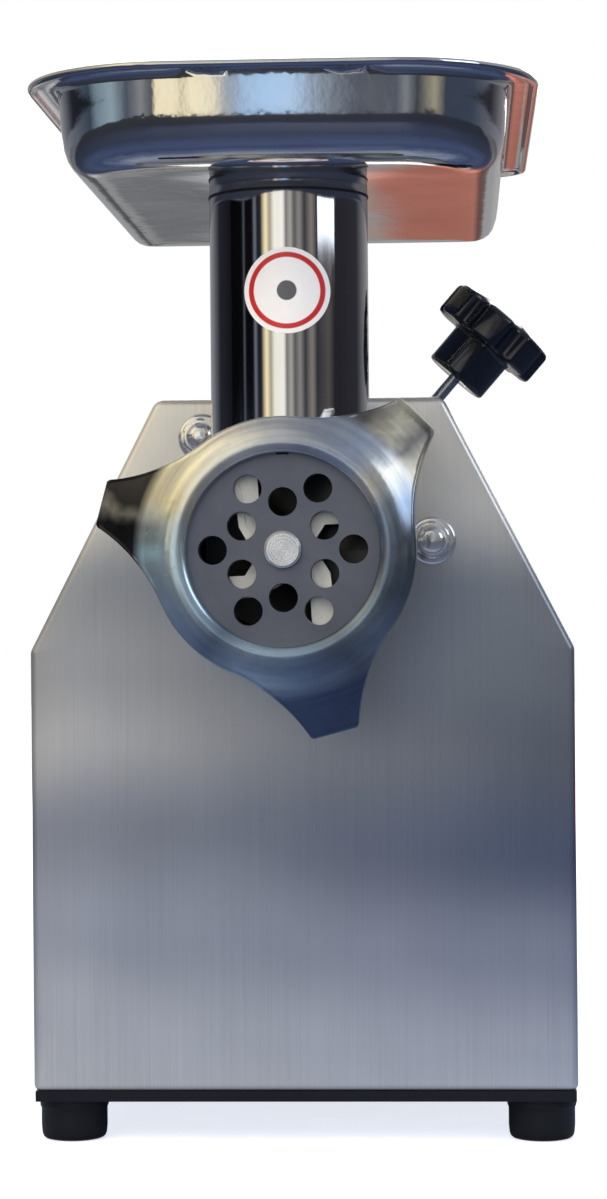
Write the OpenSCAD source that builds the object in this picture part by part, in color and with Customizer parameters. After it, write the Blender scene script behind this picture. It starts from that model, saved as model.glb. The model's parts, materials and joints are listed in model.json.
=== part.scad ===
// Electric meat grinder: a sheet-steel housing holding a motor and a two-stage
// gearbox, with a cast grinding head plugged into its front and a meat tray on
// the head's throat. Millimetres, +Z up, the head points along -Y.
// The origin is on the surface it stands on, under the middle of its bounding box.

/* [Housing] */
// Width of the housing
body_w = 205; // [200:1:215]
// Depth of the housing, from front panel to rear panel
body_d = 240; // [240:1:260]
// Height of the housing's lower edge
base_z = 20; // [18:0.5:22]
// Height where the sides start to lean in
shoulder_z = 186; // [180:1:190]
// Height of the housing's top
top_z = 280.5; // [280:0.5:290]
// Width of the housing's flat top
top_w = 108; // [104:1:116]
// Sheet thickness of the housing
sheet = 1.2; // [1:0.1:1.5]
// Depth of the fold round the front and rear panels
fold = 12; // [10:1:14]

/* [Grinding head] */
// Height of the head's axis
axis_z = 221.5; // [220:0.5:222]
// Distance from the front panel to the front of the ring nut
ring_front = 114.7; // [114:0.1:116]
// Radius of the ring nut's round body
ring_r = 45.3; // [45:0.1:47]
// Radius at the tips of the ring nut's lugs
lug_r = 65; // [62:1:68]
// Radius of the opening in the ring nut
mouth_r = 33; // [32.5:0.1:33.2]
// Radius of the cutting plate
plate_r = 34.95; // [34.9:0.05:34.95]
// Thickness of the cutting plate
plate_t = 9; // [8:0.5:9]
// Radius of each hole in the cutting plate
plate_hole_r = 4.95; // [2.5:0.05:5]
// Outer radius of the throat
throat_r = 28.2; // [28:0.1:29]
// Distance from the front panel to the throat's axis
throat_y = 57; // [56:0.5:58]
// Height of the throat's top edge
throat_z = 347.8; // [340:0.1:350]
// Radius of the neck that plugs into the housing
neck_r = 26; // [25:0.5:26]

/* [Tray] */
// Width of the tray over its rim
tray_w = 177; // [170:1:190]
// Distance from the front panel forward to the tray's front edge
tray_front = 138; // [134:1:142]
// Distance from the front panel back to the tray's rear edge
tray_back = 128; // [120:1:135]
// Height of the tray's rim
rim_z = 383; // [382:0.5:386]
// Height of the underside of the tray's floor
pan_z = 351; // [350:0.5:352]
// Width of the rim's flat flange
flange_w = 10; // [8:1:12]

/* [Clamp knob] */
// Angle of the clamp screw above the horizontal
clamp_angle = 49; // [48:1:50]
// Distance of the clamp screw behind the front panel
clamp_y = 22; // [21:0.5:23]
// Radius of the knob over its lobes
knob_r = 22; // [20:0.5:23]
// Number of lobes on the knob
knob_lobes = 7; // [5:1:9]

/* [Gear train] */
// Teeth of the output gear
output_teeth = 40; // [40:1:40]
// Teeth of the pinion cut on the layshaft
lay_pinion_teeth = 14; // [14:1:14]
// Teeth of the layshaft gear
lay_gear_teeth = 66; // [66:1:66]
// Teeth of the motor pinion
motor_teeth = 12; // [12:1:12]
// Module of the slow pair
slow_module = 2.5; // [2.5:0.1:2.5]
// Module of the fast pair
fast_module = 1.5; // [1.5:0.1:1.5]

/* [Hidden] */
$fn = 72;

steel = "#c9cbce";
polished = "#d8dade";
cast = "#b9bcc0";
dark_cast = "#8d9095";
black = "#1b1c1f";
brass = "#c9a24a";
bronze = "#a9803f";
copper = "#b8642c";
gear_steel = "#9aa0a6";
eps = 0.01;

// Depths are measured back from the front panel's face, which sits at panel_y
gland_reach = 15;
panel_y = (tray_front - body_d - gland_reach) / 2;
head_axis = [0, axis_z];

// Grinding head, front to back
lip_t = 5.9;
plate_front = -ring_front + lip_t + 0.1;
plate_back = plate_front + plate_t;
barrel_front = plate_back - 5.3;
knife_front = plate_back + 0.1;
knife_back = knife_front + 9.6;
bore_step = knife_back + 2;
ring_back = barrel_front + 18;
worm_back = -35;
wall_front = -31;
barrel_r = 36;
thread_r = 38.6;
thread_depth = 1.2;
ring_pitch = 4;
bore_r = 31;
worm_r = 29.5;
worm_core_r = 11;
worm_turns = 2.1;
shaft_r = 12.5;
neck_back = 34;
bush_r = 16;
stud_r = 6.3;
stud_square = 11.6;
run_gap = 0.05;
throat_wall = 3.2;

// Socket, gearbox and motor, front to back
socket_back = 44;
shaft_front = 38;
cover_back = 56;
case_front = 56.5;
case_back = 108;
rear_wall = 96;
slow_gear = [60, 80];
fast_gear = [84, 93];
stator = [136, 186];
shield_front = 120;
shield_rear = 200;
motor_r = 62;
socket_r = 36;
socket_stud_points = [[-36.5, 44.5], [49.7, 5], [-28, -30]];
stud_m8 = 4;

// Gear centres, seen from the front
slow_distance = slow_module * (output_teeth + lay_pinion_teeth) / 2;
fast_distance = fast_module * (lay_gear_teeth + motor_teeth) / 2;
lay_x = -22;
lay_axis = [lay_x, axis_z - sqrt(slow_distance * slow_distance - lay_x * lay_x)];
motor_axis = [0, lay_axis[1] - sqrt(fast_distance * fast_distance - lay_x * lay_x)];
pressure_angle = 25;
backlash = 0.07;
case_circles = [[head_axis, 56.3], [lay_axis, 57], [motor_axis, 22]];
case_wall = 3;

// Rear panel fittings
switch_at = [54, 181];
button_gap = 24;
button_r = 8;
gland_at = [-62, 48];
gland_bore_r = 4;

foot_h = 16;
foot_r = 12.9;
foot_x = 89.2;
foot_y = 17;

// ---------------------------------------------------------------- outlines

function unit(v) = v / norm(v);
function inward(a, b) = let (u = unit(b - a)) [-u[1], u[0]];
function before(pts, i) = pts[(i + len(pts) - 1) % len(pts)];
function after(pts, i) = pts[(i + 1) % len(pts)];
function polar(r, a) = [r * cos(a), r * sin(a)];

// A convex outline, drawn anticlockwise, moved in by d on every side
function inset(pts, d) = [
    for (i = [0 : len(pts) - 1])
        let (n1 = inward(before(pts, i), pts[i]), n2 = inward(pts[i], after(pts, i)))
            pts[i] + d * (n1 + n2) / (1 + n1 * n2)
];

// The arc that rounds the corner p between its neighbours a and b
function corner_arc(a, p, b, r, steps = 7) =
    let (u = unit(a - p), v = unit(b - p), half = acos(u * v) / 2,
         centre = p + unit(u + v) * r / sin(half), from = p + u * r / tan(half) - centre,
         start = atan2(from[1], from[0]))
        [for (i = [0 : steps]) centre + polar(r, start + (180 - 2 * half) * i / steps)];

function rounded(pts, radii) = [
    for (i = [0 : len(pts) - 1]) each corner_arc(before(pts, i), pts[i], after(pts, i), radii[i])
];

// The housing seen from the front
function housing(d) =
    rounded(inset([[-body_w / 2, base_z], [body_w / 2, base_z], [body_w / 2, shoulder_z],
                   [top_w / 2, top_z], [-top_w / 2, top_z], [-body_w / 2, shoulder_z]], d),
            [for (r = [2.5, 2.5, 5, 5, 5, 5]) max(r - d, 0.5)]);

// The tray seen from above: wide round corners in front, tight ones behind
function tray(d) =
    rounded(inset([[-tray_w / 2, panel_y - tray_front], [tray_w / 2, panel_y - tray_front],
                   [tray_w / 2, panel_y + tray_back], [-tray_w / 2, panel_y + tray_back]], d),
            [for (r = [52, 52, 16, 16]) max(r - d, 3)]);

// Radius of the ring nut at an angle from the nearest lug's middle: a flat tip,
// then a hollow arc that runs out on the round body
lug_half = 8.2;
lug_arc_r = 60;
lug_arc_d = ring_r + lug_arc_r;
lug_tip_angle = atan2(lug_half, lug_r);
lug_arc_angle = lug_tip_angle + acos((lug_arc_d * lug_arc_d + lug_half * lug_half + lug_r * lug_r
    - lug_arc_r * lug_arc_r) / (2 * lug_arc_d * norm([lug_half, lug_r])));
function lug_radius(a) =
    a <= lug_tip_angle ? lug_r / cos(a)
    : a >= lug_arc_angle ? ring_r
    : lug_arc_d * cos(lug_arc_angle - a)
        - sqrt(pow(lug_arc_r, 2) - pow(lug_arc_d * sin(lug_arc_angle - a), 2));
lug_angles = [45, 165, 285];
function ring_outline() = [
    for (lug = lug_angles, i = [-10 : 10])
        let (a = i == -10 ? -lug_arc_angle - 4
                 : i < 0 ? -lug_tip_angle - (lug_arc_angle - lug_tip_angle) * (-1 - i) / 8
                 : i == 0 ? 0
                 : i < 10 ? lug_tip_angle + (lug_arc_angle - lug_tip_angle) * (i - 1) / 8
                 : lug_arc_angle + 4)
            polar(lug_radius(abs(a)), lug + a)
];

// Involute gear outline with one tooth centred on the angle phase
function inv(a) = tan(a) * 180 / PI - a;
function tooth_half(teeth, m, r) =
    let (pitch_r = teeth * m / 2, base_r = pitch_r * cos(pressure_angle))
        90 / teeth - backlash / pitch_r * 180 / PI / 2 + inv(pressure_angle)
            - inv(acos(min(base_r / r, 1)));
function gear(teeth, m, phase) =
    let (pitch_r = teeth * m / 2, root = pitch_r - 1.25 * m,
         low = max(pitch_r * cos(pressure_angle), root + 0.15 * m), tip = pitch_r + 0.95 * m,
         flank = [low, (low + tip) / 2, tip],
         foot_half = 0.65 * tooth_half(teeth, m, low) + 0.35 * 180 / teeth)
        [for (i = [0 : teeth - 1])
            let (c = phase + 360 * i / teeth)
                each concat(
                    [polar(root, c - foot_half)],
                    [for (r = flank) polar(r, c - tooth_half(teeth, m, r))],
                    [for (k = [2 : -1 : 0]) polar(flank[k], c + tooth_half(teeth, m, flank[k]))],
                    [polar(root, c + foot_half)])];

// Zigzag of a thread drawn as rings, from depth y0 to y1
function thread(r, depth, y0, y1, pitch) = [
    for (i = [0 : floor((y1 - y0) / pitch) - 1])
        each [[r - depth, y0 + pitch * i], [r, y0 + pitch * (i + 0.3)],
              [r, y0 + pitch * (i + 0.55)], [r - depth, y0 + pitch * (i + 0.85)]]
];

// ------------------------------------------------------------ placing helpers

// Extrudes an outline drawn in the front view (x, z) between two depths
module slab(y0, y1) {
    translate([0, panel_y + y1, 0]) rotate([90, 0, 0]) linear_extrude(y1 - y0) children();
}

// A cylinder along the depth
module rod(y0, y1, r, at = head_axis) {
    translate([at[0], panel_y + y0, at[1]]) rotate([-90, 0, 0]) cylinder(h = y1 - y0, r = r);
}

// Turns a profile of [radius, depth] points about an axis that runs front to back
module turned(profile, at = head_axis) {
    translate([at[0], panel_y, at[1]]) rotate([-90, 0, 0]) rotate_extrude() polygon(profile);
}

// Moves children from +Z at the origin to the clamp screw's axis, r out from the head's axis
module on_clamp(r) {
    translate([0, panel_y + clamp_y, axis_z]) rotate([0, 90 - clamp_angle, 0])
        translate([0, 0, r]) children();
}

module ring_of(outer, inner) {
    difference() {
        polygon(outer);
        polygon(inner);
    }
}

// A shielded ball bearing as one turned ring
module bearing(y0, y1, r_in, r_out, at) {
    shield_in = r_in + (r_out - r_in) * 0.3;
    shield_out = r_in + (r_out - r_in) * 0.7;
    turned([[r_in, y0], [shield_in, y0], [shield_in, y0 + 0.6], [shield_out, y0 + 0.6],
            [shield_out, y0], [r_out, y0], [r_out, y1], [shield_out, y1],
            [shield_out, y1 - 0.6], [shield_in, y1 - 0.6], [shield_in, y1], [r_in, y1]], at);
}

// ------------------------------------------------------------- grinding head

module grinder_barrel() {
    color(cast) difference() {
        turned(concat([[30, barrel_front]],
                      thread(thread_r, thread_depth, barrel_front, ring_back - 1, ring_pitch),
                      [[thread_r - thread_depth, ring_back - 1], [barrel_r, ring_back + 1],
                       [barrel_r, -26], [neck_r + 4, -16], [neck_r, -16],
                       [neck_r, neck_back - 1.5], [neck_r - 1.5, neck_back],
                       [bush_r, neck_back], [bush_r, -20]]));
        rod(barrel_front - 1, bore_step, plate_r + run_gap);
        rod(bore_step - 1, wall_front, bore_r);
        rod(wall_front - 1, neck_back + 1, bush_r);
        translate([0, panel_y - throat_y, axis_z])
            cylinder(h = throat_z - axis_z, r = throat_r - throat_wall);
        key_pin(0);
    }
}

// Stands on the barrel, round the opening in its top
module throat_tube() {
    color(cast) difference() {
        translate([0, panel_y - throat_y, axis_z + barrel_r / 2])
            cylinder(h = throat_z - axis_z - barrel_r / 2, r = throat_r);
        translate([0, panel_y - throat_y, axis_z])
            cylinder(h = throat_z - axis_z + 1, r = throat_r - throat_wall);
        rod(-throat_y - barrel_r, -throat_y + barrel_r, barrel_r + run_gap);
    }
}

module key_pin(shorten) {
    pin_r = 1.9;
    translate([0, panel_y + (barrel_front + plate_back) / 2, axis_z + 32.8])
        cylinder(h = 4.2 - shorten, r = pin_r);
}

module plate_key_pin() {
    color(gear_steel) key_pin(0.2);
}

module barrel_bush() {
    color(bronze) turned([[shaft_r + run_gap, wall_front], [bush_r, wall_front],
                          [bush_r, neck_back - 2], [shaft_r + run_gap, neck_back - 2]]);
}

module feed_screw() {
    tang_w = 14.4;
    tang_t = 8;
    tang_back = 50;
    flight_angle = 58;
    color(cast) difference() {
        union() {
            rod(knife_back + 0.4, worm_back + 1, worm_core_r);
            rod(worm_back, neck_back + 2, shaft_r);
            rod(worm_back - 2, worm_back, 24);
            slab(neck_back + 1, tang_back)
                translate(head_axis) square([tang_w, tang_t], center = true);
            translate([0, panel_y + knife_back + 0.4, axis_z]) rotate([-90, 0, 0])
                linear_extrude(height = worm_back - knife_back - 1.4, twist = 360 * worm_turns,
                               slices = 36)
                    polygon(concat([polar(worm_core_r - 2, 0)],
                                   [for (i = [0 : 3]) polar(worm_r, flight_angle * i / 3)],
                                   [polar(worm_core_r - 2, flight_angle)]));
        }
        rod(knife_back - 1, knife_back + 22, stud_r - 0.3);
    }
}

module screw_stud() {
    color(polished) {
        turned([[0, plate_front - 3.3], [stud_r - 0.8, plate_front - 3.3],
                [stud_r, plate_front - 2.5], [stud_r, knife_front], [0, knife_front]]);
        slab(knife_front, knife_back + 0.4)
            translate(head_axis) square(stud_square, center = true);
        rod(knife_back + 0.4, knife_back + 20, stud_r - 0.3);
    }
}

module screw_washer() {
    color(brass) turned([[shaft_r + 0.2, worm_back + 0.1], [23, worm_back + 0.1],
                         [23, wall_front - 0.3], [shaft_r + 0.2, wall_front - 0.3]]);
}

// Four swept arms. A raised land along each leading edge runs against the plate.
module knife() {
    arms = 4;
    rest_angle = 50;
    hub_r = 11.5;
    arm_h = 7;
    land_h = 1.2;
    arm = [[0, -7], [8, -6], [15.5, -5], [21.2, -11.3], [26.7, -16.7], [30.6, -7.6],
           [23, -1.6], [17, 4], [10, 6.5], [0, 7]];
    land = [[8, 4.2], [15.6, 1.9], [21.5, -3.6], [28.2, -9], [30.6, -7.6], [23, -1.6],
            [17, 4], [10, 6.5]];
    color(cast) difference() {
        union() {
            rod(knife_front, knife_back, hub_r);
            slab(knife_front + land_h, knife_front + arm_h) translate(head_axis)
                for (i = [0 : arms - 1]) rotate(rest_angle + 360 * i / arms) polygon(arm);
            slab(knife_front, knife_front + arm_h) translate(head_axis)
                for (i = [0 : arms - 1]) rotate(rest_angle + 360 * i / arms) polygon(land);
        }
        slab(knife_front - 1, knife_back + 1)
            translate(head_axis) square(stud_square + 0.2, center = true);
    }
}

module cutting_plate() {
    inner_ring = 16.3;
    outer_ring = 24;
    color(cast) difference() {
        rod(plate_front, plate_back, plate_r);
        rod(plate_front - 1, plate_back + 1, stud_r + 0.1);
        for (i = [0 : 5]) {
            rod(plate_front - 1, plate_back + 1, plate_hole_r,
                head_axis + polar(outer_ring, 60 * i));
            rod(plate_front - 1, plate_back + 1, plate_hole_r,
                head_axis + polar(inner_ring, 60 * i + 30));
        }
        slab(plate_front - 1, plate_back + 1) translate(head_axis + [0, plate_r])
            square([4.4, 5.2], center = true);
    }
}

module ring_nut() {
    crest = -ring_front;
    color(polished) difference() {
        intersection() {
            slab(crest, ring_back) translate(head_axis) polygon(ring_outline());
            turned([[0, crest], [39.5, crest], [43, crest + 1.2], [45.3, crest + 4],
                    [50, crest + 6], [lug_r + 2, crest + 15], [lug_r + 2, ring_back - 2],
                    [46, ring_back], [0, ring_back]]);
        }
        rod(crest - 1, ring_back + 1, mouth_r);
        turned([[0, crest - 1], [mouth_r + 2.5, crest - 1], [mouth_r - 1, crest + 2.5],
                [0, crest + 2.5]]);
        rod(crest + lip_t, ring_back + 1, plate_r + 0.45);
        turned(concat([[0, barrel_front - 1], [thread_r + 0.3, barrel_front - 1]],
                      thread(thread_r + 1.3, 1, barrel_front - 1, ring_back + 1, ring_pitch),
                      [[thread_r + 0.3, ring_back + 1], [0, ring_back + 1]]));
    }
}

// ---------------------------------------------------------------------- tray

module tray_layer(z, d) {
    translate([0, 0, z]) linear_extrude(eps) polygon(tray(d));
}

module feed_tray() {
    wall = 1;
    bead = 2.6;
    drop = rim_z - wall - pan_z;
    // How far the pan's outside is in from the rim, at each fraction of its depth
    profile = [[1, 0], [0.4, 2], [0.18, 3.8], [0.05, 7.5], [0, 14]];
    color(polished) difference() {
        union() {
            hull() for (p = profile) tray_layer(pan_z + drop * p[0], flange_w + p[1]);
            translate([0, 0, rim_z - wall]) linear_extrude(wall) polygon(tray(0));
            translate([0, 0, rim_z - bead]) linear_extrude(bead) ring_of(tray(0), tray(bead));
        }
        hull() for (p = profile)
            tray_layer(pan_z + wall + (drop + 1) * p[0], flange_w + wall + p[1]);
        translate([0, panel_y - throat_y, pan_z - 1])
            cylinder(h = 5, r = throat_r - throat_wall - 2);
    }
}

module tray_collar() {
    spigot_r = throat_r - throat_wall - 0.1;
    spigot_z = 322;
    color(polished) translate([0, panel_y - throat_y, 0]) rotate_extrude()
        polygon([[spigot_r - 1.9, spigot_z], [spigot_r - 0.6, spigot_z],
                 [spigot_r, spigot_z + 2], [spigot_r, throat_z + 0.4],
                 [throat_r, throat_z + 0.4], [throat_r, pan_z], [spigot_r - 1.9, pan_z]]);
}

module throat_label() {
    label_z = 312;
    label_r = 15;
    color("white") intersection() {
        translate([0, panel_y - throat_y, label_z - label_r - 1]) difference() {
            cylinder(h = 2 * label_r + 2, r = throat_r + 0.2);
            translate([0, 0, -1]) cylinder(h = 2 * label_r + 4, r = throat_r);
        }
        rod(-throat_y - throat_r - 1, -throat_y, label_r, [0.7, label_z]);
    }
}

// --------------------------------------------------------------------- clamp

hub_from = 89.2;
disc_from = 105.4;
disc_to = 118.4;
dome_h = 3.5;

module clamp_knob() {
    dome_r = (knob_r * knob_r + dome_h * dome_h) / (2 * dome_h);
    hub_r = 12.5;
    color(black) on_clamp(0) difference() {
        union() {
            translate([0, 0, hub_from]) cylinder(h = 1, r1 = hub_r - 1, r2 = hub_r);
            translate([0, 0, hub_from + 1]) cylinder(h = disc_from - hub_from, r = hub_r);
            intersection() {
                translate([0, 0, disc_from])
                    cylinder(h = disc_to + dome_h - disc_from, r = knob_r);
                translate([0, 0, disc_to + dome_h - dome_r]) sphere(r = dome_r);
            }
        }
        for (i = [0 : knob_lobes - 1]) rotate(360 * i / knob_lobes + 87)
            translate([knob_r + 1, 0, disc_from - 1])
                cylinder(h = disc_to - disc_from + dome_h + 2, r = 4.2);
        translate([0, 0, hub_from - 1]) cylinder(h = 13, r = 2.25);
    }
}

module clamp_screw() {
    nose_from = 28.2;
    thread_from = 30.1;
    shank_from = 60;
    color(gear_steel) on_clamp(0) rotate_extrude()
        polygon(concat([[0, nose_from], [1.2, nose_from], [1.2, thread_from]],
                       thread(2.5, 0.3, thread_from, shank_from, 1.6),
                       [[2.2, shank_from], [2.25, shank_from + 1], [2.25, 101], [0, 101]]));
}

module clamp_pad() {
    color(brass) on_clamp(neck_r + 0.35) difference() {
        cylinder(h = 3.6, r = 2.35);
        translate([0, 0, 1.6]) cylinder(h = 3, r = 1.27);
    }
}

// -------------------------------------------------------------------- socket

module head_socket() {
    column_r = 9;
    boss_r = 9;
    boss_to = 52;
    color(dark_cast) difference() {
        union() {
            rod(sheet, socket_back, socket_r);
            rod(socket_back - 8, socket_back, 48);
            for (p = socket_stud_points) {
                rod(sheet, socket_back, column_r, head_axis + p);
                slab(sheet, sheet + 10) translate(head_axis) rotate(atan2(p[1], p[0]))
                    translate([0, -column_r]) square([norm(p), 2 * column_r]);
            }
            on_clamp(30) cylinder(h = boss_to - 30, r = boss_r);
        }
        rod(0, socket_back + 1, neck_r + 0.06);
        for (p = socket_stud_points) rod(0, socket_back + 1, stud_m8 + 0.1, head_axis + p);
        on_clamp(20) cylinder(h = boss_to - 18, r = 2.58);
    }
}

nut_seat = -1.6;
nut_h = 6.5;

module socket_studs() {
    color(gear_steel) for (p = socket_stud_points) rod(nut_seat - 9, 54, stud_m8, head_axis + p);
}

module socket_nuts() {
    dome_r = 6.3;
    color(polished) for (p = socket_stud_points) difference() {
        union() {
            rod(nut_seat - nut_h, nut_seat, 7.2, head_axis + p);
            intersection() {
                rod(nut_seat - nut_h - 1, nut_seat, 7.5, head_axis + p);
                translate([p[0], panel_y + nut_seat, axis_z + p[1]]) rotate([90, 0, 0])
                    cylinder(h = nut_h, r = 7.5, $fn = 6);
            }
            translate([p[0], panel_y + nut_seat - nut_h, axis_z + p[1]]) sphere(r = dome_r);
        }
        rod(nut_seat - 9.2, nut_seat + 1, stud_m8, head_axis + p);
        rod(nut_seat, nut_seat + 8, 8, head_axis + p);
    }
}

module socket_washers() {
    color(polished) for (p = socket_stud_points) difference() {
        rod(nut_seat, 0, 9, head_axis + p);
        rod(nut_seat - 1, 1, stud_m8 + 0.2, head_axis + p);
    }
}

// ------------------------------------------------------------------- housing

module front_panel() {
    color(steel) difference() {
        union() {
            slab(0, sheet) polygon(housing(0));
            slab(sheet, fold) ring_of(housing(0), housing(sheet));
        }
        rod(-1, sheet + 1, neck_r + 1.5);
        for (p = socket_stud_points) rod(-1, sheet + 1, stud_m8 + 0.2, head_axis + p);
    }
}

module body_cover() {
    lap = 8;
    rear_return = 12;
    base_return = 8;
    color(steel) difference() {
        union() {
            slab(fold + 0.4, body_d - fold - 0.4) ring_of(housing(0), housing(sheet));
            slab(fold - lap, fold + lap) ring_of(housing(sheet), housing(2 * sheet));
            slab(body_d - fold - lap, body_d - sheet)
                ring_of(housing(sheet), housing(2 * sheet));
            slab(body_d - 2 * sheet, body_d - sheet)
                ring_of(housing(sheet), housing(2 * sheet + rear_return));
        }
        translate([-body_w / 2 + base_return, panel_y, base_z - 1])
            cube([body_w - 2 * base_return, body_d, 20]);
        on_clamp(60) cylinder(h = 40, r = 6);
        panel_screw_places() cylinder(h = 12, r = 1.6, center = true);
    }
}

// Screws go in from behind round the rear panel, and up through the base plate
rear_screw_points = [[-94, 60], [94, 60], [-94, 160], [94, 160], [-40, 272.5], [40, 272.5]];
base_screw_points = [for (x = [-96.5, 96.5], y = [60, 120, 180]) [x, y]];
module panel_screw_places() {
    for (p = rear_screw_points)
        translate([p[0], panel_y + body_d, p[1]]) rotate([90, 0, 0]) children();
    for (p = base_screw_points) translate([p[0], panel_y + p[1], base_z - 2]) children();
}

module panel_screws() {
    color(gear_steel) panel_screw_places() {
        translate([0, 0, -1.8]) difference() {
            cylinder(h = 1.8, r1 = 2.4, r2 = 3.4);
            for (a = [0, 90]) rotate(a) translate([-1.8, -0.4, -1]) cube([3.6, 0.8, 2]);
        }
        cylinder(h = 5, r = 1.6);
    }
}

module vent_slot(length) {
    slot_r = 2;
    square([length - 2 * slot_r, 2 * slot_r], center = true);
    for (s = [-1, 1]) translate([s * (length / 2 - slot_r), 0]) circle(r = slot_r);
}

module rear_panel() {
    rows = 9;
    row_pitch = 9;
    slot_w = 66;
    hood_t = 1.2;
    color(steel) difference() {
        union() {
            slab(body_d - sheet, body_d) polygon(housing(0));
            slab(body_d - fold, body_d - sheet) ring_of(housing(0), housing(sheet));
            for (s = [-1, 1], i = [0 : rows - 1])
                slab(body_d, body_d + 2.2)
                    translate([s * 38, 70 + row_pitch * i + 3]) square([slot_w, hood_t], true);
        }
        for (s = [-1, 1], i = [0 : rows - 1])
            slab(body_d - sheet - 1, body_d + 1) translate([s * 38, 70 + row_pitch * i])
                vent_slot(slot_w);
        slab(body_d - sheet - 1, body_d + 1) translate(switch_at) square([52, 32], true);
        rod(body_d - sheet - 1, body_d + 1, 8.1, gland_at);
        for (p = rear_screw_points) rod(body_d - sheet - 1, body_d + 1, 1.8, p);
    }
}

module base_plate() {
    plate_z = base_z - 2;
    rim = 1.5;
    edge = 0.6;
    length = body_d - 2 * edge;
    width = body_w - 2 * edge;
    boss_r = 11.8;
    foot_screw_r = 2.6;
    housing_screw_r = 1.8;
    through = 8;
    vent_x = 52;
    vent_y = 80;
    vent_pitch = 12;
    vent_w = 40;
    color(black) difference() {
        translate([-width / 2, panel_y + edge, foot_h]) cube([width, length, base_z - foot_h]);
        translate([-width / 2 + rim, panel_y + edge + rim, foot_h - 1])
            difference() {
                cube([width - 2 * rim, length - 2 * rim, plate_z - foot_h + 1]);
                for (x = [-1, 1], y = [foot_y, body_d - foot_y])
                    translate([x * foot_x + width / 2 - rim, y - edge - rim, -1])
                        cylinder(h = through, r = boss_r);
            }
        for (x = [-1, 1], y = [foot_y, body_d - foot_y])
            translate([x * foot_x, panel_y + y, foot_h - 1]) cylinder(h = through, r = foot_screw_r);
        for (p = base_screw_points)
            translate([p[0], panel_y + p[1], foot_h]) cylinder(h = through, r = housing_screw_r);
        for (x = [-1, 1], i = [0 : 5])
            translate([x * vent_x, panel_y + vent_y + vent_pitch * i, foot_h])
                linear_extrude(through) vent_slot(vent_w);
    }
}

module foot(x, y) {
    head_h = 7;
    color(black) translate([x * foot_x, panel_y + y, 0]) difference() {
        rotate_extrude() polygon([[0, 0], [foot_r - 2, 0], [foot_r - 1, 0.5],
            [foot_r - 0.3, 2], [foot_r - 0.2, foot_h - 3.5], [foot_r + 0.2, foot_h - 3],
            [foot_r + 0.2, foot_h], [0, foot_h]]);
        translate([0, 0, -1]) cylinder(h = head_h + 1, r = 6);
        cylinder(h = foot_h + 1, r = 2.7);
    }
}

module foot_front_left() { foot(-1, foot_y); }
module foot_front_right() { foot(1, foot_y); }
module foot_rear_left() { foot(-1, body_d - foot_y); }
module foot_rear_right() { foot(1, body_d - foot_y); }

module foot_screws() {
    seat = 7;
    color(gear_steel) for (x = [-1, 1], y = [foot_y, body_d - foot_y])
        translate([x * foot_x, panel_y + y, seat]) {
            translate([0, 0, -3]) difference() {
                cylinder(h = 3, r1 = 3.6, r2 = 4.6);
                for (a = [0, 90]) rotate(a) translate([-2.4, -0.5, -1]) cube([4.8, 1, 2.4]);
            }
            cylinder(h = base_z - seat + 5, r = 2.5);
            translate([0, 0, base_z - seat]) cylinder(h = 3.5, r = 4.6, $fn = 6);
        }
}

// ------------------------------------------------------------------- gearbox

case_bolt_points = [
    head_axis + polar(58.5, 25), head_axis + polar(58.5, 155), head_axis + polar(58.5, -22),
    lay_axis + polar(59, 170), lay_axis + polar(59, 225), lay_axis + polar(59, -8),
    motor_axis + polar(25, -60)
];

module case_outline(shrink) {
    for (c = case_circles) translate(c[0]) circle(r = c[1] - shrink);
    if (shrink == 0) for (p = case_bolt_points) translate(p) circle(r = 6);
}

module gearbox_cover() {
    color(dark_cast) difference() {
        union() {
            slab(socket_back, cover_back) case_outline(0);
            for (p = socket_stud_points) rod(socket_back, cover_back, 8, head_axis + p);
            rod(socket_back - 4, socket_back, neck_r);
        }
        rod(socket_back - 5, cover_back + 1, 18);
        rod(socket_back - 5, socket_back + 2, 22);
        rod(socket_back + 2, cover_back + 1, 29);
        rod(cover_back - 10, cover_back + 1, 16, lay_axis);
        for (p = socket_stud_points) rod(socket_back - 1, 54, stud_m8, head_axis + p);
        for (p = case_bolt_points) rod(socket_back - 1, cover_back + 1, 2.6, p);
    }
}

module gearbox_gasket() {
    color("#3c5a46") difference() {
        slab(cover_back, case_front) difference() {
            case_outline(0);
            case_outline(case_wall);
        }
        for (p = case_bolt_points) rod(cover_back - 1, case_front + 1, 2.6, p);
    }
}

module gearbox_case() {
    color(dark_cast) difference() {
        slab(case_front, case_back) case_outline(0);
        slab(case_front - 1, rear_wall) case_outline(case_wall);
        rod(rear_wall - 1, rear_wall + 10, 20);
        rod(rear_wall - 1, rear_wall + 10, 16, lay_axis);
        rod(rear_wall - 1, case_back + 1, 12, motor_axis);
        for (p = case_bolt_points) rod(case_front - 1, 80, 2.6, p);
    }
}

module cover_bolts() {
    color(gear_steel) for (p = case_bolt_points) {
        difference() {
            rod(socket_back - 5, socket_back, 4.2, p);
            translate([p[0], panel_y + socket_back - 5, p[1]]) rotate([-90, 0, 0])
                translate([0, 0, -1]) cylinder(h = 3.5, r = 2.3, $fn = 6);
        }
        rod(socket_back, 79, 2.5, p);
    }
}

module output_shaft() {
    slot_w = 15;
    slot_t = 8.6;
    color(gear_steel) difference() {
        turned([[0, shaft_front], [17, shaft_front], [17, cover_back + 1], [19.5, cover_back + 1],
                [19.5, slow_gear[0] - 0.5], [16, slow_gear[0] - 0.5], [16, slow_gear[1] + 1],
                [13.5, slow_gear[1] + 1], [13.5, rear_wall], [10, rear_wall],
                [10, rear_wall + 10], [0, rear_wall + 10]]);
        slab(shaft_front - 1, shaft_front + 16)
            translate(head_axis) square([slot_w, slot_t], center = true);
    }
}

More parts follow.
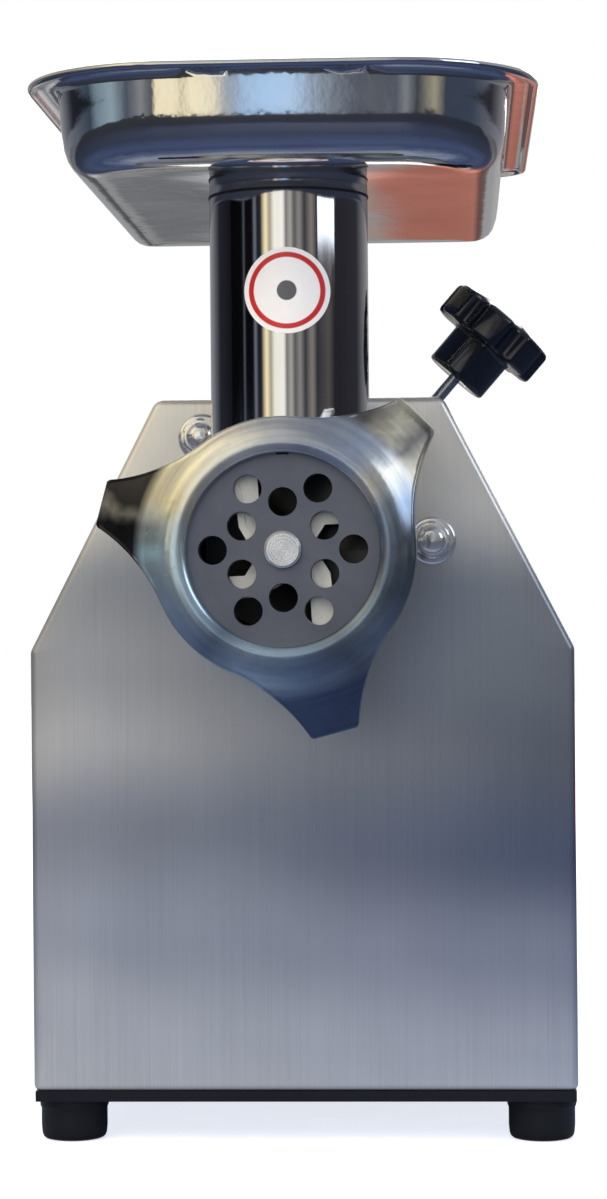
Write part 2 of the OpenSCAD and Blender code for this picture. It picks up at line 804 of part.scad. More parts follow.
slow_mesh = atan2(lay_axis[1] - head_axis[1], lay_axis[0] - head_axis[0]);
fast_mesh = atan2(motor_axis[1] - lay_axis[1], motor_axis[0] - lay_axis[0]);

module output_gear() {
    color(gear_steel) slab(slow_gear[0], slow_gear[1]) translate(head_axis) difference() {
        polygon(gear(output_teeth, slow_module, slow_mesh));
        circle(r = 16);
        for (i = [0 : 5]) translate(polar(31, 60 * i)) circle(r = 9);
    }
}

module output_bearing_front() {
    color(polished) bearing(socket_back + 2, cover_back, 17 + run_gap, 29, head_axis);
}

module output_bearing_rear() {
    color(polished) bearing(rear_wall, rear_wall + 10, 10 + run_gap, 20, head_axis);
}

module output_seal() {
    color(black) turned([[17 + run_gap, 40.5], [22, 40.5], [22, 45.8], [20.5, 45.8],
                         [20.5, 42.5], [17 + run_gap, 42.5]]);
}

module layshaft() {
    color(gear_steel) {
        turned([[0, cover_back - 9], [7.5, cover_back - 9], [7.5, cover_back + 0.5],
                [11, cover_back + 0.5], [11, fast_gear[0] - 1], [10, fast_gear[0] - 1],
                [10, fast_gear[1] + 1], [7.5, fast_gear[1] + 1], [7.5, rear_wall + 9],
                [0, rear_wall + 9]], lay_axis);
        slab(slow_gear[0] - 1, slow_gear[1] + 1) translate(lay_axis)
            polygon(gear(lay_pinion_teeth, slow_module,
                         slow_mesh + 180 + 180 / lay_pinion_teeth));
    }
}

module layshaft_gear() {
    color(gear_steel) slab(fast_gear[0], fast_gear[1]) translate(lay_axis) difference() {
        polygon(gear(lay_gear_teeth, fast_module, fast_mesh));
        circle(r = 10);
        for (i = [0 : 5]) translate(polar(29, 60 * i)) circle(r = 9);
    }
}

module layshaft_bearings() {
    color(polished) for (y = [cover_back - 10, rear_wall])
        bearing(y, y + 10, 7.5 + run_gap, 16, lay_axis);
}

// --------------------------------------------------------------------- motor

module motor_frame() {
    fins = 10;
    color("#5b6470") difference() {
        union() {
            rod(shield_front, shield_rear, motor_r, motor_axis);
            for (i = [0 : fins]) rotate_about_motor(160 * i / fins + 10)
                translate([motor_r - 1, -1, 0]) cube([4, 2, shield_rear - shield_front - 10]);
        }
        rod(shield_front - 1, shield_rear + 1, 58, motor_axis);
    }
}

// Turns children about the motor's axis; +Z becomes the depth, from just behind the front shield
module rotate_about_motor(a) {
    translate([motor_axis[0], panel_y + shield_front + 5, motor_axis[1]]) rotate([-90, 0, 0])
        rotate(-a) children();
}

module motor_front_shield() {
    color("#5b6470") difference() {
        rod(case_back, shield_front, motor_r, motor_axis);
        rod(case_back - 1, shield_front + 1, 12, motor_axis);
        rod(case_back + 2, shield_front + 1, 17.5, motor_axis);
        for (i = [0 : 7]) rod(case_back - 1, shield_front + 1, 5,
            motor_axis + polar(42, 45 * i + 22.5));
    }
}

module motor_rear_shield() {
    color("#5b6470") difference() {
        rod(shield_rear, shield_rear + 10, motor_r, motor_axis);
        rod(shield_rear - 1, shield_rear + 8, 15, motor_axis);
        rod(shield_rear - 1, shield_rear + 11, 9.5, motor_axis);
        for (i = [0 : 7]) rod(shield_rear - 1, shield_rear + 11, 6,
            motor_axis + polar(40, 45 * i + 22.5));
    }
}

slots = 24;
module slot_shape(shrink) {
    for (i = [0 : slots - 1]) rotate(360 * i / slots)
        translate([35 + shrink, -2.2 + shrink]) square([15 - 2 * shrink, 4.4 - 2 * shrink]);
}

module stator_core() {
    color("#7b7f86") slab(stator[0], stator[1]) translate(motor_axis) difference() {
        circle(r = 58);
        circle(r = 32.6);
        slot_shape(0);
    }
}

module stator_winding() {
    color(copper) {
        for (y = [stator[0] - 13, stator[1] + 1])
            turned([[36, y], [38, y - 1], [48, y - 1], [50.5, y + 1], [50.5, y + 12],
                    [36, y + 12]], motor_axis);
        slab(stator[0] - 1, stator[1] + 1) translate(motor_axis) slot_shape(0.2);
    }
}

module rotor_core() {
    color("#9c9fa5") difference() {
        union() {
            rod(stator[0], stator[1], 32, motor_axis);
            rod(stator[0] - 6, stator[1] + 6, 30, motor_axis);
        }
        rod(stator[0] - 7, stator[1] + 7, 8, motor_axis);
    }
}

module motor_shaft() {
    color(gear_steel) {
        rod(fast_gear[0] + 10, 228, 8 - run_gap, motor_axis);
        slab(fast_gear[0] - 1, fast_gear[1] + 1.5) translate(motor_axis)
            polygon(gear(motor_teeth, fast_module, fast_mesh + 180 + 180 / motor_teeth));
    }
}

module motor_bearing_front() {
    color(polished) bearing(case_back + 2, shield_front, 8, 17.5, motor_axis);
}

module motor_bearing_rear() {
    color(polished) bearing(shield_rear, shield_rear + 8, 8, 15, motor_axis);
}

module cooling_fan() {
    blades = 9;
    color("#2f3338") difference() {
        union() {
            rod(212, 226, 14, motor_axis);
            rod(212, 214, 50, motor_axis);
            for (i = [0 : blades - 1])
                translate([motor_axis[0], panel_y + 213, motor_axis[1]]) rotate([-90, 0, 0])
                    rotate(360 * i / blades) translate([10, -1, 0]) cube([39, 2, 12]);
        }
        rod(211, 227, 8, motor_axis);
    }
}

module motor_cradle() {
    half_w = 40;
    color(dark_cast) difference() {
        union() {
            translate([-half_w, panel_y + 128, base_z]) cube([2 * half_w, 64, 4]);
            for (y = [128, 186]) translate([-half_w, panel_y + y, base_z])
                cube([2 * half_w, 6, 44]);
        }
        rod(120, 200, motor_r, motor_axis);
    }
}

// ---------------------------------------------------------------- electrics

capacitor_at = [76, 48];

module capacitor() {
    r = 19;
    color("#d9d9d6") {
        rod(120, 182, r, capacitor_at);
        for (s = [-1, 1]) translate([capacitor_at[0] + s * 6 - 3, panel_y + 182, capacitor_at[1] - 0.4])
            cube([6, 9, 0.8]);
    }
}

module capacitor_clamp() {
    color(gear_steel) difference() {
        union() {
            rod(145, 157, 20.5, capacitor_at);
            translate([capacitor_at[0] - 14, panel_y + 145, base_z]) cube([28, 12, 12]);
        }
        rod(144, 158, 19, capacitor_at);
    }
}

module terminal_block() {
    ways = 6;
    color("#e6e2d4") translate([-92, panel_y + 150, base_z]) difference() {
        union() {
            cube([26, 52, 12]);
            for (i = [0 : ways - 1]) translate([3, 2 + 8.4 * i, 12]) cube([20, 6, 6]);
        }
        for (i = [0 : ways - 1], x = [7, 19]) translate([x, 5 + 8.4 * i, 9])
            cylinder(h = 10, r = 1.8);
    }
}

module switch_body() {
    depth = 28;
    bezel = 3;
    well = 13;
    color(black) difference() {
        union() {
            slab(body_d - depth, body_d) translate(switch_at) square([51.6, 31.6], true);
            slab(body_d, body_d + bezel) translate(switch_at)
                polygon(rounded([[-30, -19], [30, -19], [30, 19], [-30, 19]], [4, 4, 4, 4]));
        }
        for (s = [-1, 1]) rod(body_d + bezel - well, body_d + bezel + 1, button_r + 0.3,
            switch_at + [s * button_gap / 2, 0]);
    }
}

module button(s) {
    top = body_d + 6.5;
    turned([[0, body_d - 6.5], [button_r, body_d - 6.5], [button_r, top - 1],
            [button_r - 1, top], [button_r - 2.5, top], [0, top - 0.8]],
           switch_at + [s * button_gap / 2, 0]);
}

module start_button() { color("#2c8f3f") button(-1); }
module stop_button() { color("#c22a24") button(1); }

module cable_gland() {
    tail = 8;
    color(black) difference() {
        union() {
            rod(body_d - tail, body_d, 8, gland_at);
            translate([gland_at[0], panel_y + body_d, gland_at[1]]) rotate([-90, 0, 0])
                cylinder(h = 5, r = 12, $fn = 6);
            translate([gland_at[0], panel_y + body_d - sheet - 4, gland_at[1]])
                rotate([-90, 0, 0]) cylinder(h = 4, r = 11, $fn = 6);
            turned([[0, body_d + 5], [9.4, body_d + 5], [9.4, body_d + 11],
                    [7.5, body_d + gland_reach], [0, body_d + gland_reach]], gland_at);
        }
        rod(body_d - tail - 1, body_d + gland_reach + 1, gland_bore_r, gland_at);
    }
}

grinder_barrel();
throat_tube();
barrel_bush();
feed_screw();
screw_stud();
screw_washer();
knife();
cutting_plate();
plate_key_pin();
ring_nut();
feed_tray();
tray_collar();
throat_label();
clamp_knob();
clamp_screw();
clamp_pad();
head_socket();
socket_studs();
socket_nuts();
socket_washers();
front_panel();
body_cover();
rear_panel();
base_plate();
foot_front_left();
foot_front_right();
foot_rear_left();
foot_rear_right();
foot_screws();
panel_screws();
gearbox_cover();
gearbox_gasket();
gearbox_case();
cover_bolts();
output_shaft();
output_gear();
output_bearing_front();
output_bearing_rear();
output_seal();
layshaft();
layshaft_gear();
layshaft_bearings();
motor_frame();
motor_front_shield();
motor_rear_shield();
stator_core();
stator_winding();
rotor_core();
motor_shaft();
motor_bearing_front();
motor_bearing_rear();
cooling_fan();
motor_cradle();
capacitor();
capacitor_clamp();
terminal_block();
switch_body();
start_button();
stop_button();
cable_gland();
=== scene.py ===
import json
import math

import bmesh
import bpy
from mathutils import Matrix, Vector


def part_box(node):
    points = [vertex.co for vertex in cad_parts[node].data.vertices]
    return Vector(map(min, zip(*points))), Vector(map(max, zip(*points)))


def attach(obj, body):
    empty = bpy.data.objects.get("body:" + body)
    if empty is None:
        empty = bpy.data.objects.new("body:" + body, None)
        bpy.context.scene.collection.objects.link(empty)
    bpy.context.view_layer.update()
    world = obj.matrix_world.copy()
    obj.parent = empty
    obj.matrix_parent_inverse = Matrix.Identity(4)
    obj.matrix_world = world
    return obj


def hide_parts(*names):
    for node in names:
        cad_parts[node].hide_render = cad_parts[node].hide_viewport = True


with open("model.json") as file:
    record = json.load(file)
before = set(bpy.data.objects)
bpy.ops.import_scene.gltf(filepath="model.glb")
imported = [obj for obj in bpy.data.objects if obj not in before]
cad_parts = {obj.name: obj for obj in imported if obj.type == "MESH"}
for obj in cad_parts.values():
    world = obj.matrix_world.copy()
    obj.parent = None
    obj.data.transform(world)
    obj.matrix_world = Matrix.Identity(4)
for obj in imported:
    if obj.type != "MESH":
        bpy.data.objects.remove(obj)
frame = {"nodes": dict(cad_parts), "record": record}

MM = 0.001
TURN = 2 * math.pi
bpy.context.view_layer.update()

PANEL_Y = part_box("front_panel")[0].y
RING_LOW, RING_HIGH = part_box("ring_nut")
RING_FRONT, RING_BACK = RING_LOW.y, RING_HIGH.y
AXIS_Z = (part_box("cutting_plate")[0].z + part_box("cutting_plate")[1].z) / 2
TRAY_LOW, TRAY_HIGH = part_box("feed_tray")
THROAT_LOW, THROAT_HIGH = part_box("throat_tube")
THROAT_Y = (THROAT_LOW.y + THROAT_HIGH.y) / 2
THROAT_R = (THROAT_HIGH.x - THROAT_LOW.x) / 2
KNOB_Y = (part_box("clamp_knob")[0].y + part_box("clamp_knob")[1].y) / 2


# ------------------------------------------------------------------ camera, floor and light

def make_camera():
    """The photo's own view: from a little right of the middle, and almost level."""
    distance = 1111.1 * MM
    place = Vector((59.2 * MM, PANEL_Y - distance, 202.0 * MM))
    yaw, pitch, roll = -0.0522, 0.0025, -0.0089
    ahead = Vector((math.sin(yaw) * math.cos(pitch), math.cos(yaw) * math.cos(pitch), math.sin(pitch)))
    level = Vector((math.cos(yaw), -math.sin(yaw), 0))
    upright = level.cross(ahead)
    right = level * math.cos(roll) + upright * math.sin(roll)
    up = upright * math.cos(roll) - level * math.sin(roll)
    camera = bpy.data.objects.new("camera", bpy.data.cameras.new("camera"))
    camera.data.sensor_width = 36
    camera.data.lens = 88.9
    camera.data.clip_start = 0.01
    camera.matrix_world = Matrix((right, up, -ahead)).transposed().to_4x4()
    camera.location = place
    bpy.context.scene.collection.objects.link(camera)
    bpy.context.scene.camera = camera


def add(tree, kind, inputs=None, **settings):
    """A new shader node. An input is a constant or another node's output."""
    node = tree.nodes.new("ShaderNode" + kind)
    for key, value in settings.items():
        setattr(node, key, value)
    for key, value in (inputs or {}).items():
        if isinstance(value, bpy.types.NodeSocket):
            tree.links.new(value, node.inputs[key])
        else:
            node.inputs[key].default_value = value
    return node


def ramp(tree, factor, stops, smooth=False):
    """Colours along a factor: stops are (position, colour)."""
    node = add(tree, "ValToRGB", {"Fac": factor})
    node.color_ramp.interpolation = "EASE" if smooth else "LINEAR"
    points = node.color_ramp.elements
    while len(points) < len(stops):
        points.new(0.5)
    for point, (position, colour) in zip(points, stops):
        point.position = position
        point.color = (*colour, 1)
    return node.outputs["Color"]


def part_way(tree, value, low, high, start=0.0, end=1.0):
    """How far a value is from low to high, as a number from start to end and never beyond them."""
    return add(tree, "MapRange", {"Value": value, "From Min": low, "From Max": high,
                                  "To Min": start, "To Max": end}).outputs[0]


def times_plus(tree, value, factor, more):
    return add(tree, "Math", {0: value, 1: factor, 2: more}, operation="MULTIPLY_ADD").outputs[0]


def own_place(tree):
    """Where a point lies in its object's own axes."""
    return add(tree, "TexCoord").outputs["Object"]


def length(tree, vector):
    return add(tree, "VectorMath", {0: vector}, operation="LENGTH").outputs["Value"]


def blend_colours(tree, factor, first, second, kind="MIX"):
    return add(tree, "MixRGB", {"Fac": factor, "Color1": first, "Color2": second},
               blend_type=kind).outputs["Color"]


def make_world():
    """A studio for metal to reflect: cream high on the left, blue-grey on the right, dark bands between."""
    world = bpy.data.worlds.new("studio")
    bpy.context.scene.world = world
    world.use_nodes = True
    tree = world.node_tree
    tree.nodes.clear()
    way = add(tree, "TexCoord").outputs["Generated"]
    round_about = add(tree, "TexGradient", {"Vector": way}, gradient_type="RADIAL").outputs["Fac"]
    height = add(tree, "SeparateXYZ", {"Vector": way}).outputs["Z"]
    # Round the horizon 0 is the left, 0.25 the front, 0.5 the right and 0.75 the back
    low = ramp(tree, round_about, [
        (0.00, (0.05, 0.07, 0.10)), (0.03, (0.22, 0.30, 0.36)), (0.08, (0.34, 0.45, 0.52)),
        (0.125, (0.10, 0.12, 0.16)), (0.165, (0.30, 0.31, 0.32)), (0.195, (0.10, 0.11, 0.14)),
        (0.205, (1.25, 1.10, 0.74)), (0.214, (1.10, 1.00, 0.74)), (0.221, (0.36, 0.40, 0.46)),
        (0.232, (0.50, 0.74, 1.05)), (0.246, (0.58, 0.80, 1.10)), (0.258, (0.34, 0.40, 0.48)),
        (0.272, (0.10, 0.11, 0.14)), (0.300, (0.26, 0.28, 0.30)), (0.330, (0.05, 0.06, 0.08)),
        (0.380, (0.42, 0.38, 0.28)), (0.41, (0.05, 0.06, 0.09)), (0.50, (0.05, 0.07, 0.11)),
        (0.62, (0.20, 0.21, 0.24)), (0.75, (0.36, 0.36, 0.36)), (0.90, (0.16, 0.18, 0.22)),
        (1.00, (0.05, 0.07, 0.10))])
    belt = ramp(tree, round_about, [
        (0.00, (0.002, 0.002, 0.003)), (0.060, (0.002, 0.002, 0.003)), (0.068, (0.10, 0.11, 0.13)),
        (0.074, (0.003, 0.003, 0.004)), (0.108, (0.003, 0.003, 0.005)), (0.118, (0.18, 0.20, 0.25)),
        (0.130, (0.008, 0.01, 0.018)), (0.145, (0.03, 0.03, 0.04)), (0.165, (1.20, 1.03, 0.62)),
        (0.182, (0.42, 0.38, 0.30)), (0.198, (1.05, 1.02, 0.92)), (0.235, (1.12, 1.09, 1.00)),
        (0.247, (0.20, 0.20, 0.21)), (0.264, (0.50, 0.47, 0.42)), (0.280, (0.12, 0.12, 0.13)),
        (0.300, (0.30, 0.29, 0.28)), (0.322, (0.04, 0.04, 0.05)), (0.350, (0.26, 0.24, 0.22)),
        (0.372, (0.03, 0.03, 0.04)), (0.420, (0.10, 0.09, 0.09)), (0.450, (0.02, 0.02, 0.025)),
        (0.580, (0.03, 0.03, 0.04)), (0.650, (0.20, 0.20, 0.22)), (0.750, (0.42, 0.42, 0.42)),
        (0.850, (0.20, 0.21, 0.24)), (0.920, (0.02, 0.02, 0.03)), (1.000, (0.008, 0.009, 0.013))])
    high = ramp(tree, round_about, [
        (0.00, (0.40, 0.37, 0.31)), (0.06, (0.62, 0.56, 0.44)), (0.13, (1.20, 1.07, 0.74)),
        (0.20, (0.80, 0.76, 0.66)), (0.30, (0.25, 0.28, 0.35)), (0.42, (0.30, 0.34, 0.42)),
        (0.55, (0.34, 0.36, 0.40)), (0.75, (0.42, 0.42, 0.42)), (1.00, (0.40, 0.37, 0.31))], True)
    seen = blend_colours(tree, part_way(tree, height, 0.035, 0.055), low, belt)
    seen = blend_colours(tree, part_way(tree, height, 0.19, 0.26), seen, high)
    zenith = (0.30, 0.31, 0.33, 1)
    seen = blend_colours(tree, part_way(tree, height, 0.60, 0.97), seen, zenith)
    lit = add(tree, "Background", {"Color": seen, "Strength": 1.0}).outputs[0]
    pale = add(tree, "Background", {"Color": (1, 1, 1, 1), "Strength": 1.0}).outputs[0]
    direct = add(tree, "LightPath").outputs["Is Camera Ray"]
    both = add(tree, "MixShader", {0: direct, 1: lit, 2: pale}).outputs[0]
    add(tree, "OutputWorld", {"Surface": both})


def make_light(name, place, aim, size, power, colour, mirrored=True):
    lamp = bpy.data.lights.new(name, "AREA")
    lamp.shape = "RECTANGLE"
    lamp.size, lamp.size_y = size
    lamp.energy = power
    lamp.color = colour
    holder = bpy.data.objects.new(name, lamp)
    holder.location = place
    holder.rotation_euler = (Vector(aim) - Vector(place)).to_track_quat("-Z", "Y").to_euler()
    holder.visible_camera = False
    holder.visible_glossy = mirrored
    bpy.context.scene.collection.objects.link(holder)


def make_sheet(name, low, high, height, material):
    """A flat rectangle of the studio, level, at a height."""
    mesh = bpy.data.meshes.new(name)
    mesh.from_pydata([(low[0], low[1], height), (high[0], low[1], height), (high[0], high[1], height),
                      (low[0], high[1], height)], [], [(0, 1, 2, 3)])
    mesh.materials.append(material)
    piece = bpy.data.objects.new(name, mesh)
    bpy.context.scene.collection.objects.link(piece)
    return piece


def make_studio():
    bpy.context.scene.view_settings.view_transform = "Standard"
    make_world()
    middle = (0, PANEL_Y, 0.2)
    make_light("key", (-0.9, -1.2, 1.15), middle, (1.4, 1.0), 14, (1.0, 0.91, 0.76), mirrored=False)
    make_light("fill", (1.3, -0.9, 0.9), middle, (0.8, 0.8), 4, (0.80, 0.88, 1.0))
    make_light("front", (0.15, -1.7, 0.55), middle, (1.0, 1.0), 9, (1.0, 0.99, 0.98), mirrored=False)
    make_light("top", (0.1, 0.2, 1.6), middle, (1.4, 1.4), 14, (1.0, 0.98, 0.95), mirrored=False)
    make_light("rear", (0.3, 1.6, 1.0), middle, (1.6, 0.8), 10, (0.96, 0.98, 1.0))
    reach = 5.0
    make_sheet("floor", (-reach, -reach), (reach, reach), 0, make_floor_paint())
    # A dark cloth over the floor: seen only in the object's reflections
    cloth = make_sheet("cloth", (-reach, -reach), (reach, reach), 0.5 * MM, make_cloth())
    cloth.visible_camera = False
    cloth.visible_shadow = False


# ------------------------------------------------------------------ materials

def grain(tree, scale, detail=5.0, roughness=0.6, where=None):
    """Noise stretched along the object's own axes: scale is cells per metre along each."""
    where = where or own_place(tree)
    stretched = add(tree, "Mapping", {"Vector": where, "Scale": scale}).outputs[0]
    return add(tree, "TexNoise", {"Vector": stretched, "Scale": 1.0, "Detail": detail,
                                  "Roughness": roughness}).outputs[0]


def off_axis(tree, centre):
    """Distance from an axis along Y through a centre."""
    off = add(tree, "VectorMath", {0: own_place(tree), 1: centre}, operation="SUBTRACT").outputs[0]
    flat = add(tree, "VectorMath", {0: off, 1: (1, 0, 1)}, operation="MULTIPLY").outputs[0]
    return length(tree, flat)


def lathe_lines(tree, centre, lines_per_metre):
    """Fine rings round an axis along Y, as a facing cut leaves."""
    along = add(tree, "CombineXYZ", {"X": off_axis(tree, centre)}).outputs[0]
    return grain(tree, (lines_per_metre,) * 3, 3.0, 0.7, along)


def spread(tree, value, low, high):
    """Most of a noise's range, 0.3 to 0.7, spread from low to high."""
    return part_way(tree, value, 0.3, 0.7, low, high)


def darker(colour, factor):
    return tuple(c * factor for c in colour)


def shader(name):
    material = bpy.data.materials.new(name)
    material.use_nodes = True
    tree = material.node_tree
    return material, tree, tree.nodes["Principled BSDF"]


def finish(name, colour, roughness, scale, metallic=1.0, shade=0.8, uneven=0.06, relief=0.15,
           depth=0.05, cloud=30.0, scratches=0.0, lines=None, **constants):
    """One finish: grain in its bump and roughness, and slow clouds in its colour."""
    material, tree, bsdf = shader(name)
    fine = lines(tree) if lines else grain(tree, scale)
    clouds = grain(tree, (cloud, cloud, cloud), 3.0, 0.5)
    tone = spread(tree, clouds, 0.0, 1.0)
    base = blend_colours(tree, tone, (*darker(colour, shade), 1), (*colour, 1))
    streak = spread(tree, fine, 0.9, 1.0)
    base = blend_colours(tree, 1.0, base, streak, "MULTIPLY")
    tree.links.new(base, bsdf.inputs["Base Color"])
    both = add(tree, "Math", {0: fine, 1: clouds}, operation="ADD").outputs[0]
    both = add(tree, "Math", {0: both, 1: 0.5}, operation="MULTIPLY").outputs[0]
    rough = spread(tree, both, roughness - uneven, roughness + uneven)
    height = fine
    if scratches:
        marks = scratch_marks(tree)
        sunk = -0.6
        rough = times_plus(tree, marks, scratches, rough)
        height = times_plus(tree, marks, sunk, fine)
    tree.links.new(rough, bsdf.inputs["Roughness"])
    bump = add(tree, "Bump", {"Height": height, "Strength": relief, "Distance": depth * MM}).outputs[0]
    tree.links.new(bump, bsdf.inputs["Normal"])
    bsdf.inputs["Metallic"].default_value = metallic
    for key, value in constants.items():
        bsdf.inputs[key.replace("_", " ")].default_value = value
    return material


def scratch_marks(tree):
    """Sparse hairline scratches in two slanting directions."""
    marks = None
    for slant in (0.5, -0.9):
        turned = add(tree, "VectorRotate", {"Vector": own_place(tree), "Axis": (0.1, 1.0, 0.2),
                                            "Angle": slant}, rotation_type="AXIS_ANGLE").outputs[0]
        lines = grain(tree, (2400.0, 160.0, 60.0), 1.0, 0.4, turned)
        thin = part_way(tree, lines, 0.74, 0.80)
        marks = thin if marks is None else add(
            tree, "Math", {0: marks, 1: thin}, operation="MAXIMUM").outputs[0]
    return marks


def tint(material, tone):
    """Multiply a finish's own colour by a tone."""
    tree = material.node_tree
    colour_in = tree.nodes["Principled BSDF"].inputs["Base Color"]
    own_colour = colour_in.links[0].from_socket
    tree.links.new(blend_colours(tree, 1.0, own_colour, tone, "MULTIPLY"), colour_in)


def housing_with_painted_reflections():
    """Vertical brushing over painted reflections: soft bands of colour standing in for reflected light,
    beige above, blue-grey below, darker to the right.
    """
    material = finish("housing_with_painted_reflections", (0.97, 0.97, 0.97), 0.34, (1500.0, 1500.0, 12.0),
                      metallic=0.75, uneven=0.05, relief=0.25, depth=0.04, cloud=9.0,
                      scratches=0.15, shade=0.80)
    tree = material.node_tree
    axes = add(tree, "SeparateXYZ", {"Vector": own_place(tree)})
    # The painted reflection bands waver: both directions drift by a slow noise
    drift = grain(tree, (7.0, 7.0, 5.0), 2.0, 0.4)
    height = part_way(tree, times_plus(tree, drift, 0.05, axes.outputs["Z"]), 0.035, 0.305)
    side = part_way(tree, times_plus(tree, drift, 0.08, axes.outputs["X"]), -0.05, 0.13)
    # Painted reflections, left and right: light low down, blue-grey bands in the middle, beige at the top,
    # all darker on the right
    left = ramp(tree, height, [
        (0.00, (1.0, 1.0, 1.0)), (0.12, (0.90, 0.93, 1.0)), (0.25, (0.70, 0.74, 0.86)),
        (0.38, (0.50, 0.53, 0.62)), (0.51, (0.80, 0.80, 0.82)), (0.62, (0.62, 0.63, 0.66)),
        (0.73, (0.46, 0.48, 0.52)), (0.86, (1.0, 0.96, 0.88)), (1.00, (1.0, 0.96, 0.86))], True)
    right = ramp(tree, height, [
        (0.00, (0.90, 0.92, 0.98)), (0.12, (0.70, 0.74, 0.84)), (0.25, (0.46, 0.50, 0.64)),
        (0.38, (0.20, 0.24, 0.36)), (0.51, (0.28, 0.31, 0.37)), (0.62, (0.34, 0.37, 0.42)),
        (0.73, (0.36, 0.39, 0.44)), (0.86, (0.88, 0.86, 0.82)), (1.00, (1.0, 0.97, 0.91))], True)
    tint(material, blend_colours(tree, side, left, right))
    return material


def ring_with_painted_reflections():
    """Buffed casting with painted reflections: colours running round it from pale cyan to slate, cream
    highlights at the upper left, and darker lugs with thin painted highlights.
    """
    material = finish("ring_with_painted_reflections", (0.98, 0.98, 0.98), 0.20, (210.0, 210.0, 210.0), uneven=0.07,
                      metallic=0.85, relief=0.12, depth=0.10, cloud=38.0, scratches=0.1, shade=0.82)
    tree = material.node_tree
    off = add(tree, "VectorMath", {0: own_place(tree), 1: (0, 0, AXIS_Z)}, operation="SUBTRACT")
    axes = add(tree, "SeparateXYZ", {"Vector": off.outputs[0]})
    flat = add(tree, "CombineXYZ", {"X": axes.outputs["X"], "Y": axes.outputs["Z"]}).outputs[0]
    out = length(tree, flat)
    turn = add(tree, "TexGradient", {"Vector": flat}, gradient_type="RADIAL").outputs["Fac"]
    drift = grain(tree, (38.0, 38.0, 38.0), 3.0, 0.6)
    drift = add(tree, "Math", {0: drift, 1: 0.5}, operation="SUBTRACT").outputs[0]
    turn = times_plus(tree, drift, 0.07, turn)
    # Round from the left: 0.25 is the bottom, 0.5 the right and 0.75 the top
    # Painted reflections on the ring's body: pale cyan on the left, slate on the right and below, cream
    # highlights at the upper left
    body = ramp(tree, turn, [
        (0.00, (0.76, 0.95, 1.00)), (0.05, (0.66, 0.84, 0.96)), (0.10, (0.54, 0.70, 0.84)),
        (0.15, (0.28, 0.38, 0.50)), (0.20, (0.52, 0.66, 0.80)), (0.27, (0.32, 0.43, 0.58)),
        (0.33, (0.22, 0.27, 0.34)), (0.38, (0.34, 0.42, 0.50)), (0.44, (0.20, 0.25, 0.31)),
        (0.50, (0.24, 0.29, 0.37)), (0.55, (0.36, 0.44, 0.56)), (0.60, (0.90, 0.86, 0.74)),
        (0.64, (0.60, 0.70, 0.86)), (0.70, (0.56, 0.61, 0.70)), (0.77, (0.72, 0.74, 0.78)),
        (0.82, (1.00, 0.97, 0.88)), (0.88, (1.00, 0.96, 0.80)), (0.93, (1.00, 0.92, 0.70)),
        (0.96, (0.84, 0.90, 0.90)), (1.00, (0.76, 0.95, 1.00))])
    # Painted reflections on the lugs: dark slate and black, with thin painted highlights
    lugs = ramp(tree, turn, [
        (0.00, (0.03, 0.03, 0.035)), (0.24, (0.14, 0.20, 0.34)), (0.34, (0.11, 0.15, 0.25)),
        (0.58, (0.60, 0.55, 0.44)), (0.615, (0.16, 0.15, 0.14)), (0.64, (0.80, 0.74, 0.56)),
        (0.66, (0.20, 0.19, 0.18)), (0.85, (0.10, 0.10, 0.10)), (0.95, (0.04, 0.04, 0.045)),
        (0.965, (0.34, 0.33, 0.31)), (0.975, (0.03, 0.03, 0.035)), (1.00, (0.03, 0.03, 0.035))])
    body_end, lug_start = 47.5 * MM, 51.5 * MM
    tone = blend_colours(tree, part_way(tree, out, body_end, lug_start), body, lugs)
    polar = add(tree, "CombineXYZ", {"X": turn, "Y": out}).outputs[0]
    streaks = spread(tree, grain(tree, (9.0, 420.0, 1.0), 4.0, 0.6, polar), 0.74, 1.0)
    tint(material, blend_colours(tree, 1.0, tone, streaks, "MULTIPLY"))
    return material


def label_paper():
    """A round sticker: white, with a plain red ring and a plain grey middle."""
    material, tree, bsdf = shader("label_paper")
    low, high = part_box("throat_label")
    radius = 15 * MM
    part = part_way(tree, off_axis(tree, (low + high) / 2), 0.0, radius)
    white, red, grey = (1.0, 0.98, 0.99), (0.60, 0.012, 0.016), (0.10, 0.10, 0.12)
    print_ink = ramp(tree, part, [
        (0.0, grey), (0.22, grey), (0.24, white), (0.76, white), (0.78, red),
        (0.88, red), (0.90, white), (1.0, white)])
    wear = spread(tree, grain(tree, (300.0,) * 3, 4.0), 0.96, 1.0)
    tree.links.new(blend_colours(tree, 1.0, print_ink, wear, "MULTIPLY"), bsdf.inputs["Base Color"])
    fibres = grain(tree, (2500.0,) * 3, 3.0)
    tree.links.new(spread(tree, fibres, 0.32, 0.46), bsdf.inputs["Roughness"])
    bump = add(tree, "Bump", {"Height": fibres, "Strength": 0.1, "Distance": 0.02 * MM}).outputs[0]
    tree.links.new(bump, bsdf.inputs["Normal"])
    bsdf.inputs["Coat Weight"].default_value = 0.3
    return material


def make_floor_paint():
    """Pale all over, and glowing softly further off so that it meets the backdrop."""
    paint = finish("floor_paint", (0.93, 0.93, 0.93), 0.75, (60.0, 60.0, 60.0), metallic=0.0,
                   shade=0.97, relief=0.02, depth=0.1, cloud=2.0)
    tree = paint.node_tree
    bsdf = tree.nodes["Principled BSDF"]
    near, far = 0.4, 1.3
    dim, full = 0.55, 1.0
    glow = part_way(tree, length(tree, own_place(tree)), near, far, dim, full)
    bsdf.inputs["Emission Color"].default_value = (1, 1, 1, 1)
    tree.links.new(glow, bsdf.inputs["Emission Strength"])
    return paint


